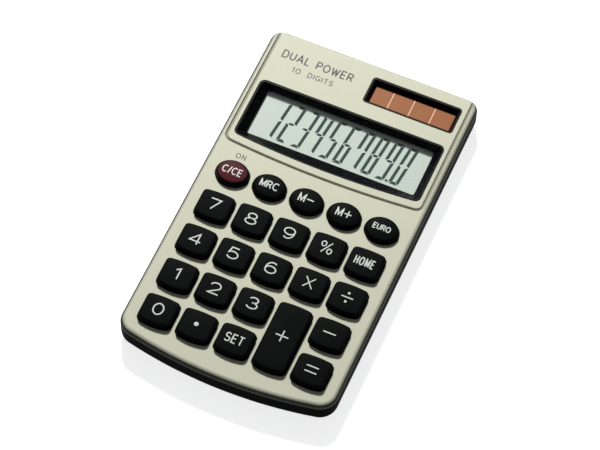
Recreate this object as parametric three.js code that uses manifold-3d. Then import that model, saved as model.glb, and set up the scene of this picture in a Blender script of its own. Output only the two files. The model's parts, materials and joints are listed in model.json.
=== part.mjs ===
// Pocket calculator with a solar cell and a button cell, as an assembly of separate parts.
// Millimetres. +X is to the right, +Y towards the display, +Z up through the keys.
// The origin is the middle of the box around the calculator, on the surface that its feet stand on.

import * as THREE from "three";
import { mergeVertices } from "three/addons/utils/BufferGeometryUtils.js";
import Module from "manifold-3d";

const wasm = await Module();
wasm.setup();

// ---- Driving dimensions -------------------------------------------------------------------

// Case outline: straight sides and top, and a bottom edge that is one shallow arc.
const HALF_WIDTH = 35;
const HALF_LENGTH = 60.7;
const BOTTOM_RADIUS = 146;
const TOP_CORNER = 4;
const BOTTOM_CORNER = 5.8;

// Heights, from the desk upwards.
const FOOT_PROUD = 0.5;
const CASE_DEPTH = 9;
const FACE_Z = FOOT_PROUD + CASE_DEPTH;
const LID_DEPTH = 1.8;
const PARTING_Z = FACE_Z - LID_DEPTH;
const PARTING_GAP = 0.1;

// Front cover, a shallow lid with a rounded edge.
const LID_PLATE = 1.4;
const LID_EDGE = 1.3;
const LID_LIP = 0.9;
const PLATE_UNDERSIDE = FACE_Z - LID_PLATE;

// Back cover, a tray with a tongue that stands up inside the lid's lip.
const BACK_FLOOR = 1.3;
const BACK_EDGE = 3;
const BACK_WALL = 1.7;
const TONGUE_INSET = 1;
const TONGUE_RISE = 0.4;
const FLOOR_TOP = FOOT_PROUD + BACK_FLOOR;

// Line that sets off the upper panel of the face: down both sides and along a shallow arc.
const PANEL_HALF_WIDTH = 32.85;
const PANEL_BOTTOM = 14.7;
const PANEL_BOW = 1.7;
const PANEL_CORNER = 2.4;
const GROOVE_WIDTH = 0.65;
const GROOVE_DEPTH = 0.4;

// Display opening, and the glass that shows through it.
const DISPLAY = { left: -31.1, right: 31.1, top: 41, bottom: 17.6, bow: 1.6, corner: 1.9 };
const DISPLAY_GLASS = { left: -28.1, right: 28.1, top: 38.7, bottom: 22.4, bow: 0, corner: 0.8 };
const DISPLAY_FUNNEL = 2.8;
const WINDOW_THICKNESS = 0.5;
const LCD_THICKNESS = 1.5;
const LCD = { left: -29.8, right: 29.8, top: 40.4, bottom: 20.6, bow: 0, corner: 0.4 };

// Solar opening, and the cell behind it.
const SOLAR = { left: 0.8, right: 30.8, top: 56, bottom: 46.15, bow: 0, corner: 1.2 };
const SOLAR_GLASS = { left: 2.5, right: 29.2, top: 54.2, bottom: 47.9, bow: 0, corner: 0.3 };
const SOLAR_CELL = { left: 1.6, right: 30, top: 55.2, bottom: 47, bow: 0, corner: 0.2 };
const SOLAR_FUNNEL = 1.9;
const SOLAR_THICKNESS = 1.1;

// A surround's rim sits a little under the face, with a flange behind the plate.
const BEZEL_SUNK = 0.15;
const BEZEL_CLEARANCE = 0.12;
const BEZEL_RIM = 0.5;
const DISPLAY_FLANGE = 0.7;
const SOLAR_FLANGE = 0.45;

// Keys: five columns and five rows on one grid.
const COLUMN_PITCH = 12.4;
const ROW_PITCH = 13.25;
const FIRST_ROW_Y = 5;
const KEY_WIDTH = 10.4;
const KEY_HEIGHT = 9.7;
const OVAL_HEIGHT = 8.4;
const KEY_CORNER = 1.3;
const KEY_TOP_BOW = 0.4;
const KEY_BOTTOM_BOW = 0.8;
const KEY_PROUD = 2.2;
const KEY_EDGE = 0.7;
const KEY_CLEARANCE = 0.28;
const KEY_TRAVEL = 0.9;
const KEY_FLANGE = { width: 11.7, inset: 0.9, thickness: 0.8 };
const KEY_STEM = { width: 7.6, inset: 4.3 };

// Board, mat and the small parts on the board.
const BOARD_BOTTOM = 2.5;
const BOARD_TOP = 3.5;
const BOARD = { left: -31, right: 31, top: 56.5, bottom: -53.5, bow: 0, corner: 4 };
const MAT = { left: -29.6, right: 29.6, top: 9.2, bottom: -52.2, bow: 0, corner: 2 };
const MAT_THICKNESS = 1.2;
const MAT_HOLE_CLEARANCE = 0.5;
const SEAT = 0.05;

// Fasteners and feet, each given by its place in X and Y.
const CASE_SCREWS = [[30.2, 43.6], [29.8, -1.2], [18.6, -53.6]];
const CASE_BOSS_RADIUS = 1.6;
const CASE_POST_RADIUS = 2.5;
const CASE_SCREW = { head: 1.55, headHeight: 1, shank: 0.6, tip: 7.2 };
const COUNTERBORE_RADIUS = 1.75;
const COUNTERBORE_TOP = 3;
const BOSS_POST_SPLIT = 4.7;
const BOARD_SCREWS = [[18.6, -0.9], [18.6, -28.1]];
const BOARD_BOSS_RADIUS = 1.5;
const BOARD_SCREW = { head: 1.3, headHeight: 0.5, shank: 0.5, tip: 6.6 };
const SCREW_CLEARANCE = 0.1;
const FEET = [[24, 51.5], [23, -45]];
const FOOT_RADIUS = 4;
const FOOT_RECESS = 0.5;
const FOOT_CLEARANCE = 0.15;
const SIDES = [["left", -1], ["right", 1]];

// Label recess in the back.
const LABEL = { left: -18, right: 18, top: 30, bottom: 10, bow: 0, corner: 1.5 };
const LABEL_DEPTH = 0.3;

// Fineness of round shapes, and how far a cutting shape runs past what it cuts.
const CURVE_STEPS = 3;
const OVAL_STEPS = 9;
const CASE_EDGE_STEPS = 2;
const ROUND_SIDES = 12;
const PAST = 1;

// ---- Materials ----------------------------------------------------------------------------

function material(color, roughness, metalness = 0) {
  return new THREE.MeshStandardMaterial({ color, roughness, metalness });
}

const silverPaint = material(0xcfcfbc, 0.42, 0.55);
const blackPlastic = material(0x131515, 0.45);
const bezelPlastic = material(0x0c0d0d, 0.35);
const keyRubber = material(0x121414, 0.62);
const redKeyRubber = material(0x5e1926, 0.6);
const matRubber = material(0x1d1f1f, 0.8);
const stripRubber = material(0xb9b9b2, 0.7);
const padFoam = material(0x3a3a38, 0.95);
const footRubber = material(0x202020, 0.85);
const clearAcrylic = new THREE.MeshStandardMaterial({
  color: 0xf4f8f7,
  roughness: 0.05,
  transparent: true,
  opacity: 0.25,
});
const displayGlass = material(0xcbd6cf, 0.25);
const solarGlass = material(0xa0653f, 0.25);
const boardLaminate = material(0x2f6b3c, 0.55);
const chipResin = material(0x0d0d0e, 0.4);
const capacitorSleeve = material(0x1f3a6b, 0.35);
const cellSteel = material(0xc4c6c8, 0.3, 0.9);
const clipBrass = material(0xc9a24a, 0.35, 0.9);
const screwSteel = material(0x9a9da0, 0.35, 0.9);
const redSleeve = material(0xa02020, 0.5);
const blackSleeve = material(0x1a1a1a, 0.5);

// ---- Solids -------------------------------------------------------------------------------

// A closed geometry as a solid that can be joined and cut.
function solid(geometry) {
  const bare = geometry.clone();
  bare.deleteAttribute("normal");
  bare.deleteAttribute("uv");
  const merged = mergeVertices(bare, 1e-5);
  return new wasm.Manifold(new wasm.Mesh({
    numProp: 3,
    vertProperties: new Float32Array(merged.attributes.position.array),
    triVerts: new Uint32Array(merged.index.array),
  }));
}

// A solid as a geometry with flat faces.
function geometryOf(shape) {
  const mesh = shape.getMesh();
  const geometry = new THREE.BufferGeometry();
  geometry.setAttribute("position", new THREE.BufferAttribute(mesh.vertProperties, 3));
  geometry.setIndex(new THREE.BufferAttribute(mesh.triVerts, 1));
  const faceted = geometry.toNonIndexed();
  faceted.computeVertexNormals();
  return faceted;
}

// A flat outline carried straight up from one height to another.
function slab(shape, low, high, curveSegments = CURVE_STEPS) {
  const options = { depth: high - low, curveSegments, bevelEnabled: false };
  const geometry = new THREE.ExtrudeGeometry(shape, options);
  geometry.translate(0, 0, low);
  return solid(geometry);
}

// The same, with both of its edges rounded inside the outline.
function roundedSlab(shape, low, high, edge, curveSegments, bevelSegments) {
  const geometry = new THREE.ExtrudeGeometry(shape, {
    depth: high - low - 2 * edge,
    curveSegments,
    bevelEnabled: true,
    bevelThickness: edge,
    bevelSize: edge,
    bevelOffset: -edge,
    bevelSegments,
  });
  geometry.translate(0, 0, low + edge);
  return solid(geometry);
}

// Two outlines with the same number of points, joined by straight sides.
function loft(lowShape, low, highShape, high) {
  const lower = lowShape.getPoints(CURVE_STEPS).slice(0, -1);
  const upper = highShape.getPoints(CURVE_STEPS).slice(0, -1);
  const count = lower.length;
  const points = [
    ...lower.map((p) => [p.x, p.y, low]),
    ...upper.map((p) => [p.x, p.y, high]),
  ];
  const faces = [];
  for (let i = 0; i < count; i += 1) {
    const next = (i + 1) % count;
    faces.push([i, next, count + next], [i, count + next, count + i]);
  }
  for (const [a, b, c] of THREE.ShapeUtils.triangulateShape(lower, [])) {
    faces.push([a, c, b]);
  }
  for (const [a, b, c] of THREE.ShapeUtils.triangulateShape(upper, [])) {
    faces.push([count + a, count + b, count + c]);
  }
  const geometry = new THREE.BufferGeometry();
  geometry.setAttribute("position", new THREE.Float32BufferAttribute(points.flat(), 3));
  geometry.setIndex(faces.flat());
  return solid(geometry);
}

// An upright round bar.
function bar(x, y, radius, low, high) {
  const geometry = new THREE.CylinderGeometry(radius, radius, high - low, ROUND_SIDES);
  geometry.rotateX(Math.PI / 2);
  geometry.translate(x, y, (low + high) / 2);
  return solid(geometry);
}

// A block between two corners.
function block(x0, x1, y0, y1, z0, z1) {
  const geometry = new THREE.BoxGeometry(x1 - x0, y1 - y0, z1 - z0);
  geometry.translate((x0 + x1) / 2, (y0 + y1) / 2, (z0 + z1) / 2);
  return solid(geometry);
}

// Places on both sides of the middle, from places given for the right-hand side.
function bothSides(places) {
  return places.flatMap(([x, y]) => SIDES.map(([, side]) => [side * x, y]));
}

// ---- Outlines -----------------------------------------------------------------------------

// The case outline, moved inwards by inset. Each corner is an arc that meets its neighbours smoothly.
function caseShape(inset) {
  const half = HALF_WIDTH - inset;
  const top = HALF_LENGTH - inset;
  const topCorner = TOP_CORNER - inset;
  const corner = BOTTOM_CORNER - inset;
  const arcY = BOTTOM_RADIUS - HALF_LENGTH;
  const radius = BOTTOM_RADIUS - inset;
  const cornerX = half - corner;
  const cornerY = arcY - Math.sqrt((radius - corner) ** 2 - cornerX ** 2);
  const lean = Math.atan2(cornerX, arcY - cornerY);
  const down = 1.5 * Math.PI;
  const shape = new THREE.Shape();
  shape.moveTo(half, cornerY);
  shape.lineTo(half, top - topCorner);
  shape.absarc(half - topCorner, top - topCorner, topCorner, 0, Math.PI / 2);
  shape.lineTo(-half + topCorner, top);
  shape.absarc(-half + topCorner, top - topCorner, topCorner, Math.PI / 2, Math.PI);
  shape.lineTo(-half, cornerY);
  shape.absarc(-cornerX, cornerY, corner, Math.PI, down - lean);
  shape.absarc(0, arcY, radius, down - lean, down + lean);
  shape.absarc(cornerX, cornerY, corner, down + lean, 2 * Math.PI);
  return shape;
}

// An oblong with rounded corners, whose lower edge bows out by bow, grown by grow all round.
function frameShape({ left, right, top, bottom, bow, corner }, grow = 0) {
  const x0 = left - grow;
  const x1 = right + grow;
  const y1 = top + grow;
  const r = Math.max(corner + grow, 0.2);
  const side = bottom - grow + bow;
  const lift = bow * r * 2 / ((x1 - x0) / 2);
  const shape = new THREE.Shape();
  shape.moveTo(x1, side + r);
  shape.lineTo(x1, y1 - r);
  shape.absarc(x1 - r, y1 - r, r, 0, Math.PI / 2);
  shape.lineTo(x0 + r, y1);
  shape.absarc(x0 + r, y1 - r, r, Math.PI / 2, Math.PI);
  shape.lineTo(x0, side + r);
  shape.quadraticCurveTo(x0, side, x0 + r, side - lift);
  shape.quadraticCurveTo((x0 + x1) / 2, side - 2 * bow + lift, x1 - r, side - lift);
  shape.quadraticCurveTo(x1, side, x1, side + r);
  return shape;
}

// A key's outline: straight sides, a top edge that bows a little and a bottom edge that bows more.
function squareKeyShape(x, y, width, height, grow = 0) {
  const w = width / 2 + grow;
  const h = height / 2 + grow;
  const r = KEY_CORNER + grow;
  const upper = h - KEY_TOP_BOW;
  const lower = -h + KEY_BOTTOM_BOW;
  const share = 1 - ((w - r) / w) ** 2;
  const shape = new THREE.Shape();
  shape.moveTo(x + w, y + lower + r);
  shape.lineTo(x + w, y + upper - r);
  shape.quadraticCurveTo(x + w, y + upper, x + w - r, y + upper + share * KEY_TOP_BOW);
  const topPull = upper + (2 - share) * KEY_TOP_BOW;
  shape.quadraticCurveTo(x, y + topPull, x - w + r, y + upper + share * KEY_TOP_BOW);
  shape.quadraticCurveTo(x - w, y + upper, x - w, y + upper - r);
  shape.lineTo(x - w, y + lower + r);
  shape.quadraticCurveTo(x - w, y + lower, x - w + r, y + lower - share * KEY_BOTTOM_BOW);
  const bottomPull = lower - (2 - share) * KEY_BOTTOM_BOW;
  shape.quadraticCurveTo(x, y + bottomPull, x + w - r, y + lower - share * KEY_BOTTOM_BOW);
  shape.quadraticCurveTo(x + w, y + lower, x + w, y + lower + r);
  return shape;
}

// An oval key's outline.
function ovalKeyShape(x, y, width, height, grow = 0) {
  const shape = new THREE.Shape();
  shape.absellipse(x, y, width / 2 + grow, height / 2 + grow, 0, 2 * Math.PI);
  return shape;
}

// ---- Keys ---------------------------------------------------------------------------------

// The key names by row, from the display down, and by column, from the left.
// The plus key stands in the fourth column and takes up the last two rows.
const KEY_ROWS = [
  ["key_on_clear", "key_memory_recall", "key_memory_minus", "key_memory_plus", "key_currency"],
  ["key_7", "key_8", "key_9", "key_percent", "key_home"],
  ["key_4", "key_5", "key_6", "key_multiply", "key_divide"],
  ["key_1", "key_2", "key_3", "key_plus", "key_minus"],
  ["key_0", "key_point", "key_set", null, "key_equals"],
];

function keyPlaces() {
  const places = [];
  KEY_ROWS.forEach((names, row) => {
    names.forEach((name, column) => {
      if (name === null) {
        return;
      }
      const tall = name === "key_plus";
      const x = (column - 2) * COLUMN_PITCH;
      const y = FIRST_ROW_Y - row * ROW_PITCH - (tall ? ROW_PITCH / 2 : 0);
      const oval = row === 0;
      const height = oval ? OVAL_HEIGHT : KEY_HEIGHT + (tall ? ROW_PITCH : 0);
      places.push({ name, x, y, height, oval });
    });
  });
  return places;
}

const KEYS = keyPlaces();

function keyShape({ x, y, height, oval }, grow = 0) {
  const outline = oval ? ovalKeyShape : squareKeyShape;
  return outline(x, y, KEY_WIDTH, height, grow);
}

// A key: the cap that stands out of its hole, a flange that keeps it in, and the stem that
// reaches down to its contact on the board.
function key(place) {
  const { x, y, height, oval } = place;
  const steps = oval ? OVAL_STEPS : CURVE_STEPS;
  const flangeTop = PLATE_UNDERSIDE - KEY_CLEARANCE;
  const flangeBottom = flangeTop - KEY_FLANGE.thickness;
  const stemBottom = BOARD_TOP + KEY_TRAVEL + 2 * SEAT;
  const flangeHalf = KEY_FLANGE.width / 2;
  const flangeReach = height / 2 - KEY_FLANGE.inset;
  const stemHalf = KEY_STEM.width / 2;
  const stemReach = (height - KEY_STEM.inset) / 2;
  const capTop = FACE_Z + KEY_PROUD;
  const cap = roundedSlab(keyShape(place), flangeBottom, capTop, KEY_EDGE, steps, 1);
  const flange = block(
    x - flangeHalf, x + flangeHalf, y - flangeReach, y + flangeReach, flangeBottom, flangeTop,
  );
  const stem = block(
    x - stemHalf, x + stemHalf, y - stemReach, y + stemReach, stemBottom, flangeTop,
  );
  return cap.add(flange).add(stem);
}

// ---- Case ---------------------------------------------------------------------------------

// The band between two outlines of the upper panel. It runs out through the top edge.
function panelGroove() {
  const panel = {
    left: -PANEL_HALF_WIDTH,
    right: PANEL_HALF_WIDTH,
    top: HALF_LENGTH + 2 * PANEL_CORNER,
    bottom: PANEL_BOTTOM,
    bow: PANEL_BOW,
    corner: PANEL_CORNER,
  };
  const low = FACE_Z - GROOVE_DEPTH;
  const outer = slab(frameShape(panel, GROOVE_WIDTH / 2), low, FACE_Z + PAST);
  const inner = slab(frameShape(panel, -GROOVE_WIDTH / 2), low - PAST, FACE_Z + 2 * PAST);
  return outer.subtract(inner);
}

function frontCover() {
  const below = PARTING_Z - BACK_EDGE;
  let cover = roundedSlab(caseShape(0), below, FACE_Z, LID_EDGE, CURVE_STEPS, CASE_EDGE_STEPS);
  const far = HALF_LENGTH + PAST;
  cover = cover.subtract(block(-far, far, -far, far, below - PAST, PARTING_Z));
  cover = cover.subtract(slab(caseShape(LID_LIP), PARTING_Z - PAST, PLATE_UNDERSIDE));
  cover = cover.subtract(panelGroove());
  cover = cover.subtract(slab(frameShape(DISPLAY), PARTING_Z - PAST, FACE_Z + PAST));
  cover = cover.subtract(slab(frameShape(SOLAR), PARTING_Z - PAST, FACE_Z + PAST));
  for (const place of KEYS) {
    const steps = place.oval ? OVAL_STEPS : CURVE_STEPS;
    const hole = keyShape(place, KEY_CLEARANCE);
    cover = cover.subtract(slab(hole, PARTING_Z - PAST, FACE_Z + PAST, steps));
  }
  const root = PLATE_UNDERSIDE + LID_PLATE / 2;
  for (const [x, y] of bothSides(CASE_SCREWS)) {
    const bottom = BOSS_POST_SPLIT + SCREW_CLEARANCE;
    cover = cover.add(bar(x, y, CASE_BOSS_RADIUS, bottom, root));
    const pilot = CASE_SCREW.shank + SCREW_CLEARANCE;
    cover = cover.subtract(bar(x, y, pilot, bottom - PAST, PLATE_UNDERSIDE));
  }
  for (const [x, y] of bothSides(BOARD_SCREWS)) {
    const bottom = BOARD_TOP + SCREW_CLEARANCE;
    cover = cover.add(bar(x, y, BOARD_BOSS_RADIUS, bottom, root));
    const pilot = BOARD_SCREW.shank + SCREW_CLEARANCE;
    cover = cover.subtract(bar(x, y, pilot, bottom - PAST, PLATE_UNDERSIDE));
  }
  return cover;
}

function backCover() {
  const rim = PARTING_Z - PARTING_GAP;
  const above = rim + 2 * BACK_EDGE;
  const far = HALF_LENGTH + PAST;
  const tray = [FOOT_PROUD, above, BACK_EDGE, CURVE_STEPS, CASE_EDGE_STEPS];
  let cover = roundedSlab(caseShape(0), ...tray);
  const tongue = slab(caseShape(TONGUE_INSET), rim - PAST, rim + TONGUE_RISE);
  cover = cover.subtract(block(-far, far, -far, far, rim, above + PAST)).add(tongue);
  cover = cover.subtract(slab(caseShape(BACK_WALL), FLOOR_TOP, rim + TONGUE_RISE + PAST));
  for (const [x, y] of bothSides(CASE_SCREWS)) {
    cover = cover.add(bar(x, y, CASE_POST_RADIUS, FLOOR_TOP - PAST / 2, BOSS_POST_SPLIT));
    cover = cover.subtract(bar(x, y, COUNTERBORE_RADIUS, FOOT_PROUD - PAST, COUNTERBORE_TOP));
    const clear = CASE_SCREW.shank + 2 * SCREW_CLEARANCE;
    cover = cover.subtract(bar(x, y, clear, FOOT_PROUD, BOSS_POST_SPLIT + PAST));
  }
  for (const [x, y] of bothSides(FEET)) {
    const radius = FOOT_RADIUS + FOOT_CLEARANCE;
    cover = cover.subtract(bar(x, y, radius, FOOT_PROUD - PAST, FOOT_PROUD + FOOT_RECESS));
  }
  return cover.subtract(slab(frameShape(LABEL), FOOT_PROUD - PAST, FOOT_PROUD + LABEL_DEPTH));
}

// A surround with a funnel from its rim in to the glass behind it.
function bezel(opening, glass, funnelDepth, flange) {
  const rim = FACE_Z - BEZEL_SUNK;
  const bottom = FACE_Z - funnelDepth;
  const flangeTop = PLATE_UNDERSIDE - SEAT;
  const body = slab(frameShape(opening, -BEZEL_CLEARANCE), bottom, rim);
  const back = slab(frameShape(opening, flange), bottom, flangeTop);
  const mouth = frameShape(opening, -BEZEL_CLEARANCE - BEZEL_RIM);
  const slope = loft(frameShape(glass), bottom, mouth, rim);
  const throat = slab(frameShape(glass), bottom - PAST, bottom + SEAT);
  const way = slab(mouth, rim - SEAT, rim + PAST);
  return body.add(back).subtract(slope).subtract(throat).subtract(way);
}

// ---- Inside -------------------------------------------------------------------------------

const DISPLAY_BACK = FACE_Z - DISPLAY_FUNNEL;
const LCD_TOP = DISPLAY_BACK - SEAT - WINDOW_THICKNESS - SEAT;
const LCD_BOTTOM = LCD_TOP - LCD_THICKNESS;

function displayWindow() {
  const low = DISPLAY_BACK - SEAT - WINDOW_THICKNESS;
  return slab(frameShape(LCD, -0.4), low, low + WINDOW_THICKNESS);
}

function lcdPanel() {
  return slab(frameShape(LCD), LCD_BOTTOM, LCD_TOP);
}

// The two strips between board and display glass: one carries the signals, the other levels the glass.
function stripUnderDisplay(y, depth) {
  const half = 27;
  return block(-half, half, y, y + depth, BOARD_TOP + SEAT, LCD_BOTTOM - SEAT);
}

function solarCell() {
  const top = FACE_Z - SOLAR_FUNNEL - SEAT;
  return slab(frameShape(SOLAR_CELL), top - SOLAR_THICKNESS, top);
}

function keypadMat() {
  const low = BOARD_TOP + SEAT;
  let mat = slab(frameShape(MAT), low, low + MAT_THICKNESS);
  for (const { x, y, height } of KEYS) {
    const half = KEY_STEM.width / 2 + MAT_HOLE_CLEARANCE;
    const reach = (height - KEY_STEM.inset) / 2 + MAT_HOLE_CLEARANCE;
    mat = mat.subtract(block(x - half, x + half, y - reach, y + reach, 0, FACE_Z));
  }
  for (const [x, y] of bothSides(BOARD_SCREWS)) {
    mat = mat.subtract(bar(x, y, BOARD_BOSS_RADIUS + 3 * SCREW_CLEARANCE, 0, FACE_Z));
  }
  for (const [x, y] of bothSides(CASE_SCREWS)) {
    mat = mat.subtract(bar(x, y, CASE_POST_RADIUS + 3 * SCREW_CLEARANCE, 0, FACE_Z));
  }
  return mat;
}

function circuitBoard() {
  let board = slab(frameShape(BOARD), BOARD_BOTTOM, BOARD_TOP);
  for (const [x, y] of bothSides(CASE_SCREWS)) {
    board = board.subtract(bar(x, y, CASE_POST_RADIUS + 3 * SCREW_CLEARANCE, 0, FACE_Z));
  }
  for (const [x, y] of bothSides(BOARD_SCREWS)) {
    board = board.subtract(bar(x, y, BOARD_SCREW.shank + 2 * SCREW_CLEARANCE, 0, FACE_Z));
  }
  return board;
}

// A solid turned about an upright axis, from a profile of [radius, height] points.
function turned(x, y, profile) {
  const points = profile.map(([radius, height]) => new THREE.Vector2(radius, height));
  const geometry = new THREE.LatheGeometry(points, ROUND_SIDES);
  geometry.rotateX(Math.PI / 2);
  geometry.translate(x, y, 0);
  return solid(geometry);
}

function chipBlob() {
  const low = BOARD_TOP + SEAT;
  const radius = 4;
  const rise = 1.1;
  const rings = [0, 0.35, 0.65, 0.87, 1];
  const dome = rings.map((t) => [radius * Math.sqrt(1 - t * t), low + rise * t]);
  return turned(-4.5, 51, [[0, low], ...dome]);
}

function capacitor() {
  const radius = 2;
  const length = 5;
  const geometry = new THREE.CylinderGeometry(radius, radius, length, ROUND_SIDES);
  geometry.translate(-28.4, 51, BOARD_TOP + SEAT + radius);
  return solid(geometry);
}

const CELL = { x: -17.5, y: 50.2, radius: 5.8, height: 3.05, low: 3.95 };

function buttonCell() {
  const { x, y, radius, height, low } = CELL;
  const step = 0.25;
  const top = low + height;
  const cap = radius - 3 * step;
  return turned(x, y, [
    [0, low],
    [cap, low],
    [cap, low + step],
    [radius, low + 2 * step],
    [radius, top - step],
    [radius - step, top],
    [0, top],
  ]);
}

// A strip under the cell with a tail that is soldered to the board.
function negativeClip() {
  const { x, y, radius, low } = CELL;
  const half = 2.5;
  return block(x - half, x + half, y - radius - 1.5, y + half, BOARD_TOP + SEAT, low - SEAT);
}

// A strip over the cell, folded down to the board at its outer end.
function positiveClip() {
  const { x, y, radius, height, low } = CELL;
  const half = 2;
  const thickness = 0.3;
  const outer = x - radius - 0.6;
  const under = low + height + SEAT;
  const over = block(outer, x + half, y - half, y + half, under, under + thickness);
  const legRight = outer + thickness;
  const leg = block(outer, legRight, y - half, y + half, BOARD_TOP + SEAT, under + thickness);
  return over.add(leg);
}

// A short lead from the board up to the back of the solar cell.
function solarWire(x) {
  const radius = 0.35;
  const foot = BOARD_TOP + SEAT;
  const head = FACE_Z - SOLAR_FUNNEL - SOLAR_THICKNESS - 3 * SEAT;
  const mid = (foot + head) / 2;
  const route = new THREE.CatmullRomCurve3([
    new THREE.Vector3(x, 52, foot),
    new THREE.Vector3(x, 51.6, foot + 0.7),
    new THREE.Vector3(x, 50.6, mid),
    new THREE.Vector3(x, 51, head - 0.6),
    new THREE.Vector3(x, 51.2, head),
  ]);
  const section = new THREE.Shape();
  section.absarc(0, 0, radius, 0, 2 * Math.PI);
  const options = { steps: 10, curveSegments: 4, extrudePath: route, bevelEnabled: false };
  const wire = solid(new THREE.ExtrudeGeometry(section, options));
  return wire.intersect(block(x - 1, x + 1, 49, 54, foot, head));
}

// A screw that points up, with a cross recess in its head.
function screw(x, y, headBottom, { head, headHeight, shank, tip }) {
  const shoulder = headBottom + headHeight;
  const chamfer = 0.2;
  const body = turned(x, y, [
    [0, headBottom],
    [head - chamfer, headBottom],
    [head, headBottom + chamfer],
    [head, shoulder],
    [shank, shoulder],
    [shank, tip - shank],
    [0, tip],
  ]);
  const reach = head * 0.6;
  const half = 0.18;
  const deep = headBottom + headHeight * 0.5;
  const along = block(x - reach, x + reach, y - half, y + half, headBottom - PAST, deep);
  const across = block(x - half, x + half, y - reach, y + reach, headBottom - PAST, deep);
  return body.subtract(along).subtract(across);
}

function caseScrew(x, y) {
  const headBottom = COUNTERBORE_TOP - SEAT - CASE_SCREW.headHeight;
  return screw(x, y, headBottom, CASE_SCREW);
}

function boardScrew(x, y) {
  const headBottom = BOARD_BOTTOM - SEAT - BOARD_SCREW.headHeight;
  return screw(x, y, headBottom, BOARD_SCREW);
}

// ---- Assembly -----------------------------------------------------------------------------

const calculator = new THREE.Group();

function place(name, shape, finish) {
  const mesh = new THREE.Mesh(geometryOf(shape), finish);
  mesh.name = name;
  calculator.add(mesh);
}

place("back_cover", backCover(), blackPlastic);
place("front_cover", frontCover(), silverPaint);
place("display_bezel", bezel(DISPLAY, DISPLAY_GLASS, DISPLAY_FUNNEL, DISPLAY_FLANGE), bezelPlastic);
place("display_window", displayWindow(), clearAcrylic);
place("lcd_panel", lcdPanel(), displayGlass);
place("zebra_strip", stripUnderDisplay(38, 2), stripRubber);
place("lcd_foam_pad", stripUnderDisplay(21.5, 2), padFoam);
place("solar_bezel", bezel(SOLAR, SOLAR_GLASS, SOLAR_FUNNEL, SOLAR_FLANGE), bezelPlastic);
place("solar_cell", solarCell(), solarGlass);
place("keypad_mat", keypadMat(), matRubber);
place("circuit_board", circuitBoard(), boardLaminate);
place("chip_blob", chipBlob(), chipResin);
place("capacitor", capacitor(), capacitorSleeve);
place("button_cell", buttonCell(), cellSteel);
place("battery_clip_negative", negativeClip(), clipBrass);
place("battery_clip_positive", positiveClip(), clipBrass);
place("solar_wire_positive", solarWire(4), redSleeve);
place("solar_wire_negative", solarWire(27), blackSleeve);

for (const keyPlace of KEYS) {
  const finish = keyPlace.name === "key_on_clear" ? redKeyRubber : keyRubber;
  place(keyPlace.name, key(keyPlace), finish);
}

// Names for the rows of fasteners and feet, from the display down.
const CASE_SCREW_ROWS = ["top", "middle", "bottom"];
const BOARD_SCREW_ROWS = ["upper", "lower"];
const FOOT_ROWS = ["top", "bottom"];

for (const [sideName, side] of SIDES) {
  CASE_SCREWS.forEach(([x, y], row) => {
    place(`case_screw_${CASE_SCREW_ROWS[row]}_${sideName}`, caseScrew(side * x, y), screwSteel);
  });
  BOARD_SCREWS.forEach(([x, y], row) => {
    place(`board_screw_${BOARD_SCREW_ROWS[row]}_${sideName}`, boardScrew(side * x, y), screwSteel);
  });
  FEET.forEach(([x, y], row) => {
    const foot = bar(side * x, y, FOOT_RADIUS, 0, FOOT_PROUD + FOOT_RECESS - SEAT);
    place(`foot_${FOOT_ROWS[row]}_${sideName}`, foot, footRubber);
  });
}

export default calculator;
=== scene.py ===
"""Looks of a pocket calculator with a solar cell, built around its packed CAD frame.

The file is laid out as an add-on: sizes and colours are properties, each piece has an operator, and a
sidebar panel lists the operators. Run as a script, it builds every piece in order. Lengths are in metres.
"""

import json
import math

import bmesh
import bpy
import numpy as np
from bpy.props import FloatProperty, FloatVectorProperty, PointerProperty
from mathutils import Matrix, Vector
from mathutils.geometry import tessellate_polygon


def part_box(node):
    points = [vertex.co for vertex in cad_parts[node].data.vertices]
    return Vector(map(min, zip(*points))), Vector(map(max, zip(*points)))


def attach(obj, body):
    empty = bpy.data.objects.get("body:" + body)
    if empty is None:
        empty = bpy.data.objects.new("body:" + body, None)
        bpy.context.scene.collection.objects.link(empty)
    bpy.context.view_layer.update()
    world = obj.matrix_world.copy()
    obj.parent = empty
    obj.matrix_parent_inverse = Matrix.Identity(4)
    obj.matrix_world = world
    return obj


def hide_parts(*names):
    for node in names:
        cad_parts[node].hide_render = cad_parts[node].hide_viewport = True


bl_info = {
    "name": "Pocket Calculator",
    "version": (1, 0, 0),
    "blender": (4, 5, 0),
    "location": "3D View > Sidebar > Calculator",
    "description": "Builds a pocket calculator's covers, display, keys and print around its CAD frame",
    "category": "Object",
}

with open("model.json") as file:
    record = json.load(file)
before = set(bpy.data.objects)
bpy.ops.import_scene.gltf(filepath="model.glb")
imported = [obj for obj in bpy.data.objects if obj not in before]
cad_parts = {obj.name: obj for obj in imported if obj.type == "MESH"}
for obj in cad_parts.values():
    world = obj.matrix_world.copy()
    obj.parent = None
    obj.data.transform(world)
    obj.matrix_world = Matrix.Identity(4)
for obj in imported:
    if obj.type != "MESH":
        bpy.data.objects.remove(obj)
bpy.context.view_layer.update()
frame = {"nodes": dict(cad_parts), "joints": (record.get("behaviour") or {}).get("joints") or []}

MM = 0.001
CASE_BODY = "case"
KEYS = [joint["child"] for joint in frame["joints"]]


def span(node):
    """Lowest and highest corner of a CAD node, as arrays."""
    return tuple(np.array(corner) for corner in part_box(node))


def middle(node):
    """Middle of a CAD node's box."""
    low, high = span(node)
    return (low + high) / 2


def nodes_like(start):
    """CAD nodes whose names begin alike, in order."""
    return sorted(node for node in frame["nodes"] if node.startswith(start))


# ---- Sizes that the frame gives ----

HALF_WIDTH, HALF_LENGTH, FACE_Z = span("front_cover")[1]
UNDERSIDE_Z = span("back_cover")[0][2]

# ---- Sizes that the frame's boxes don't show ----

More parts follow.
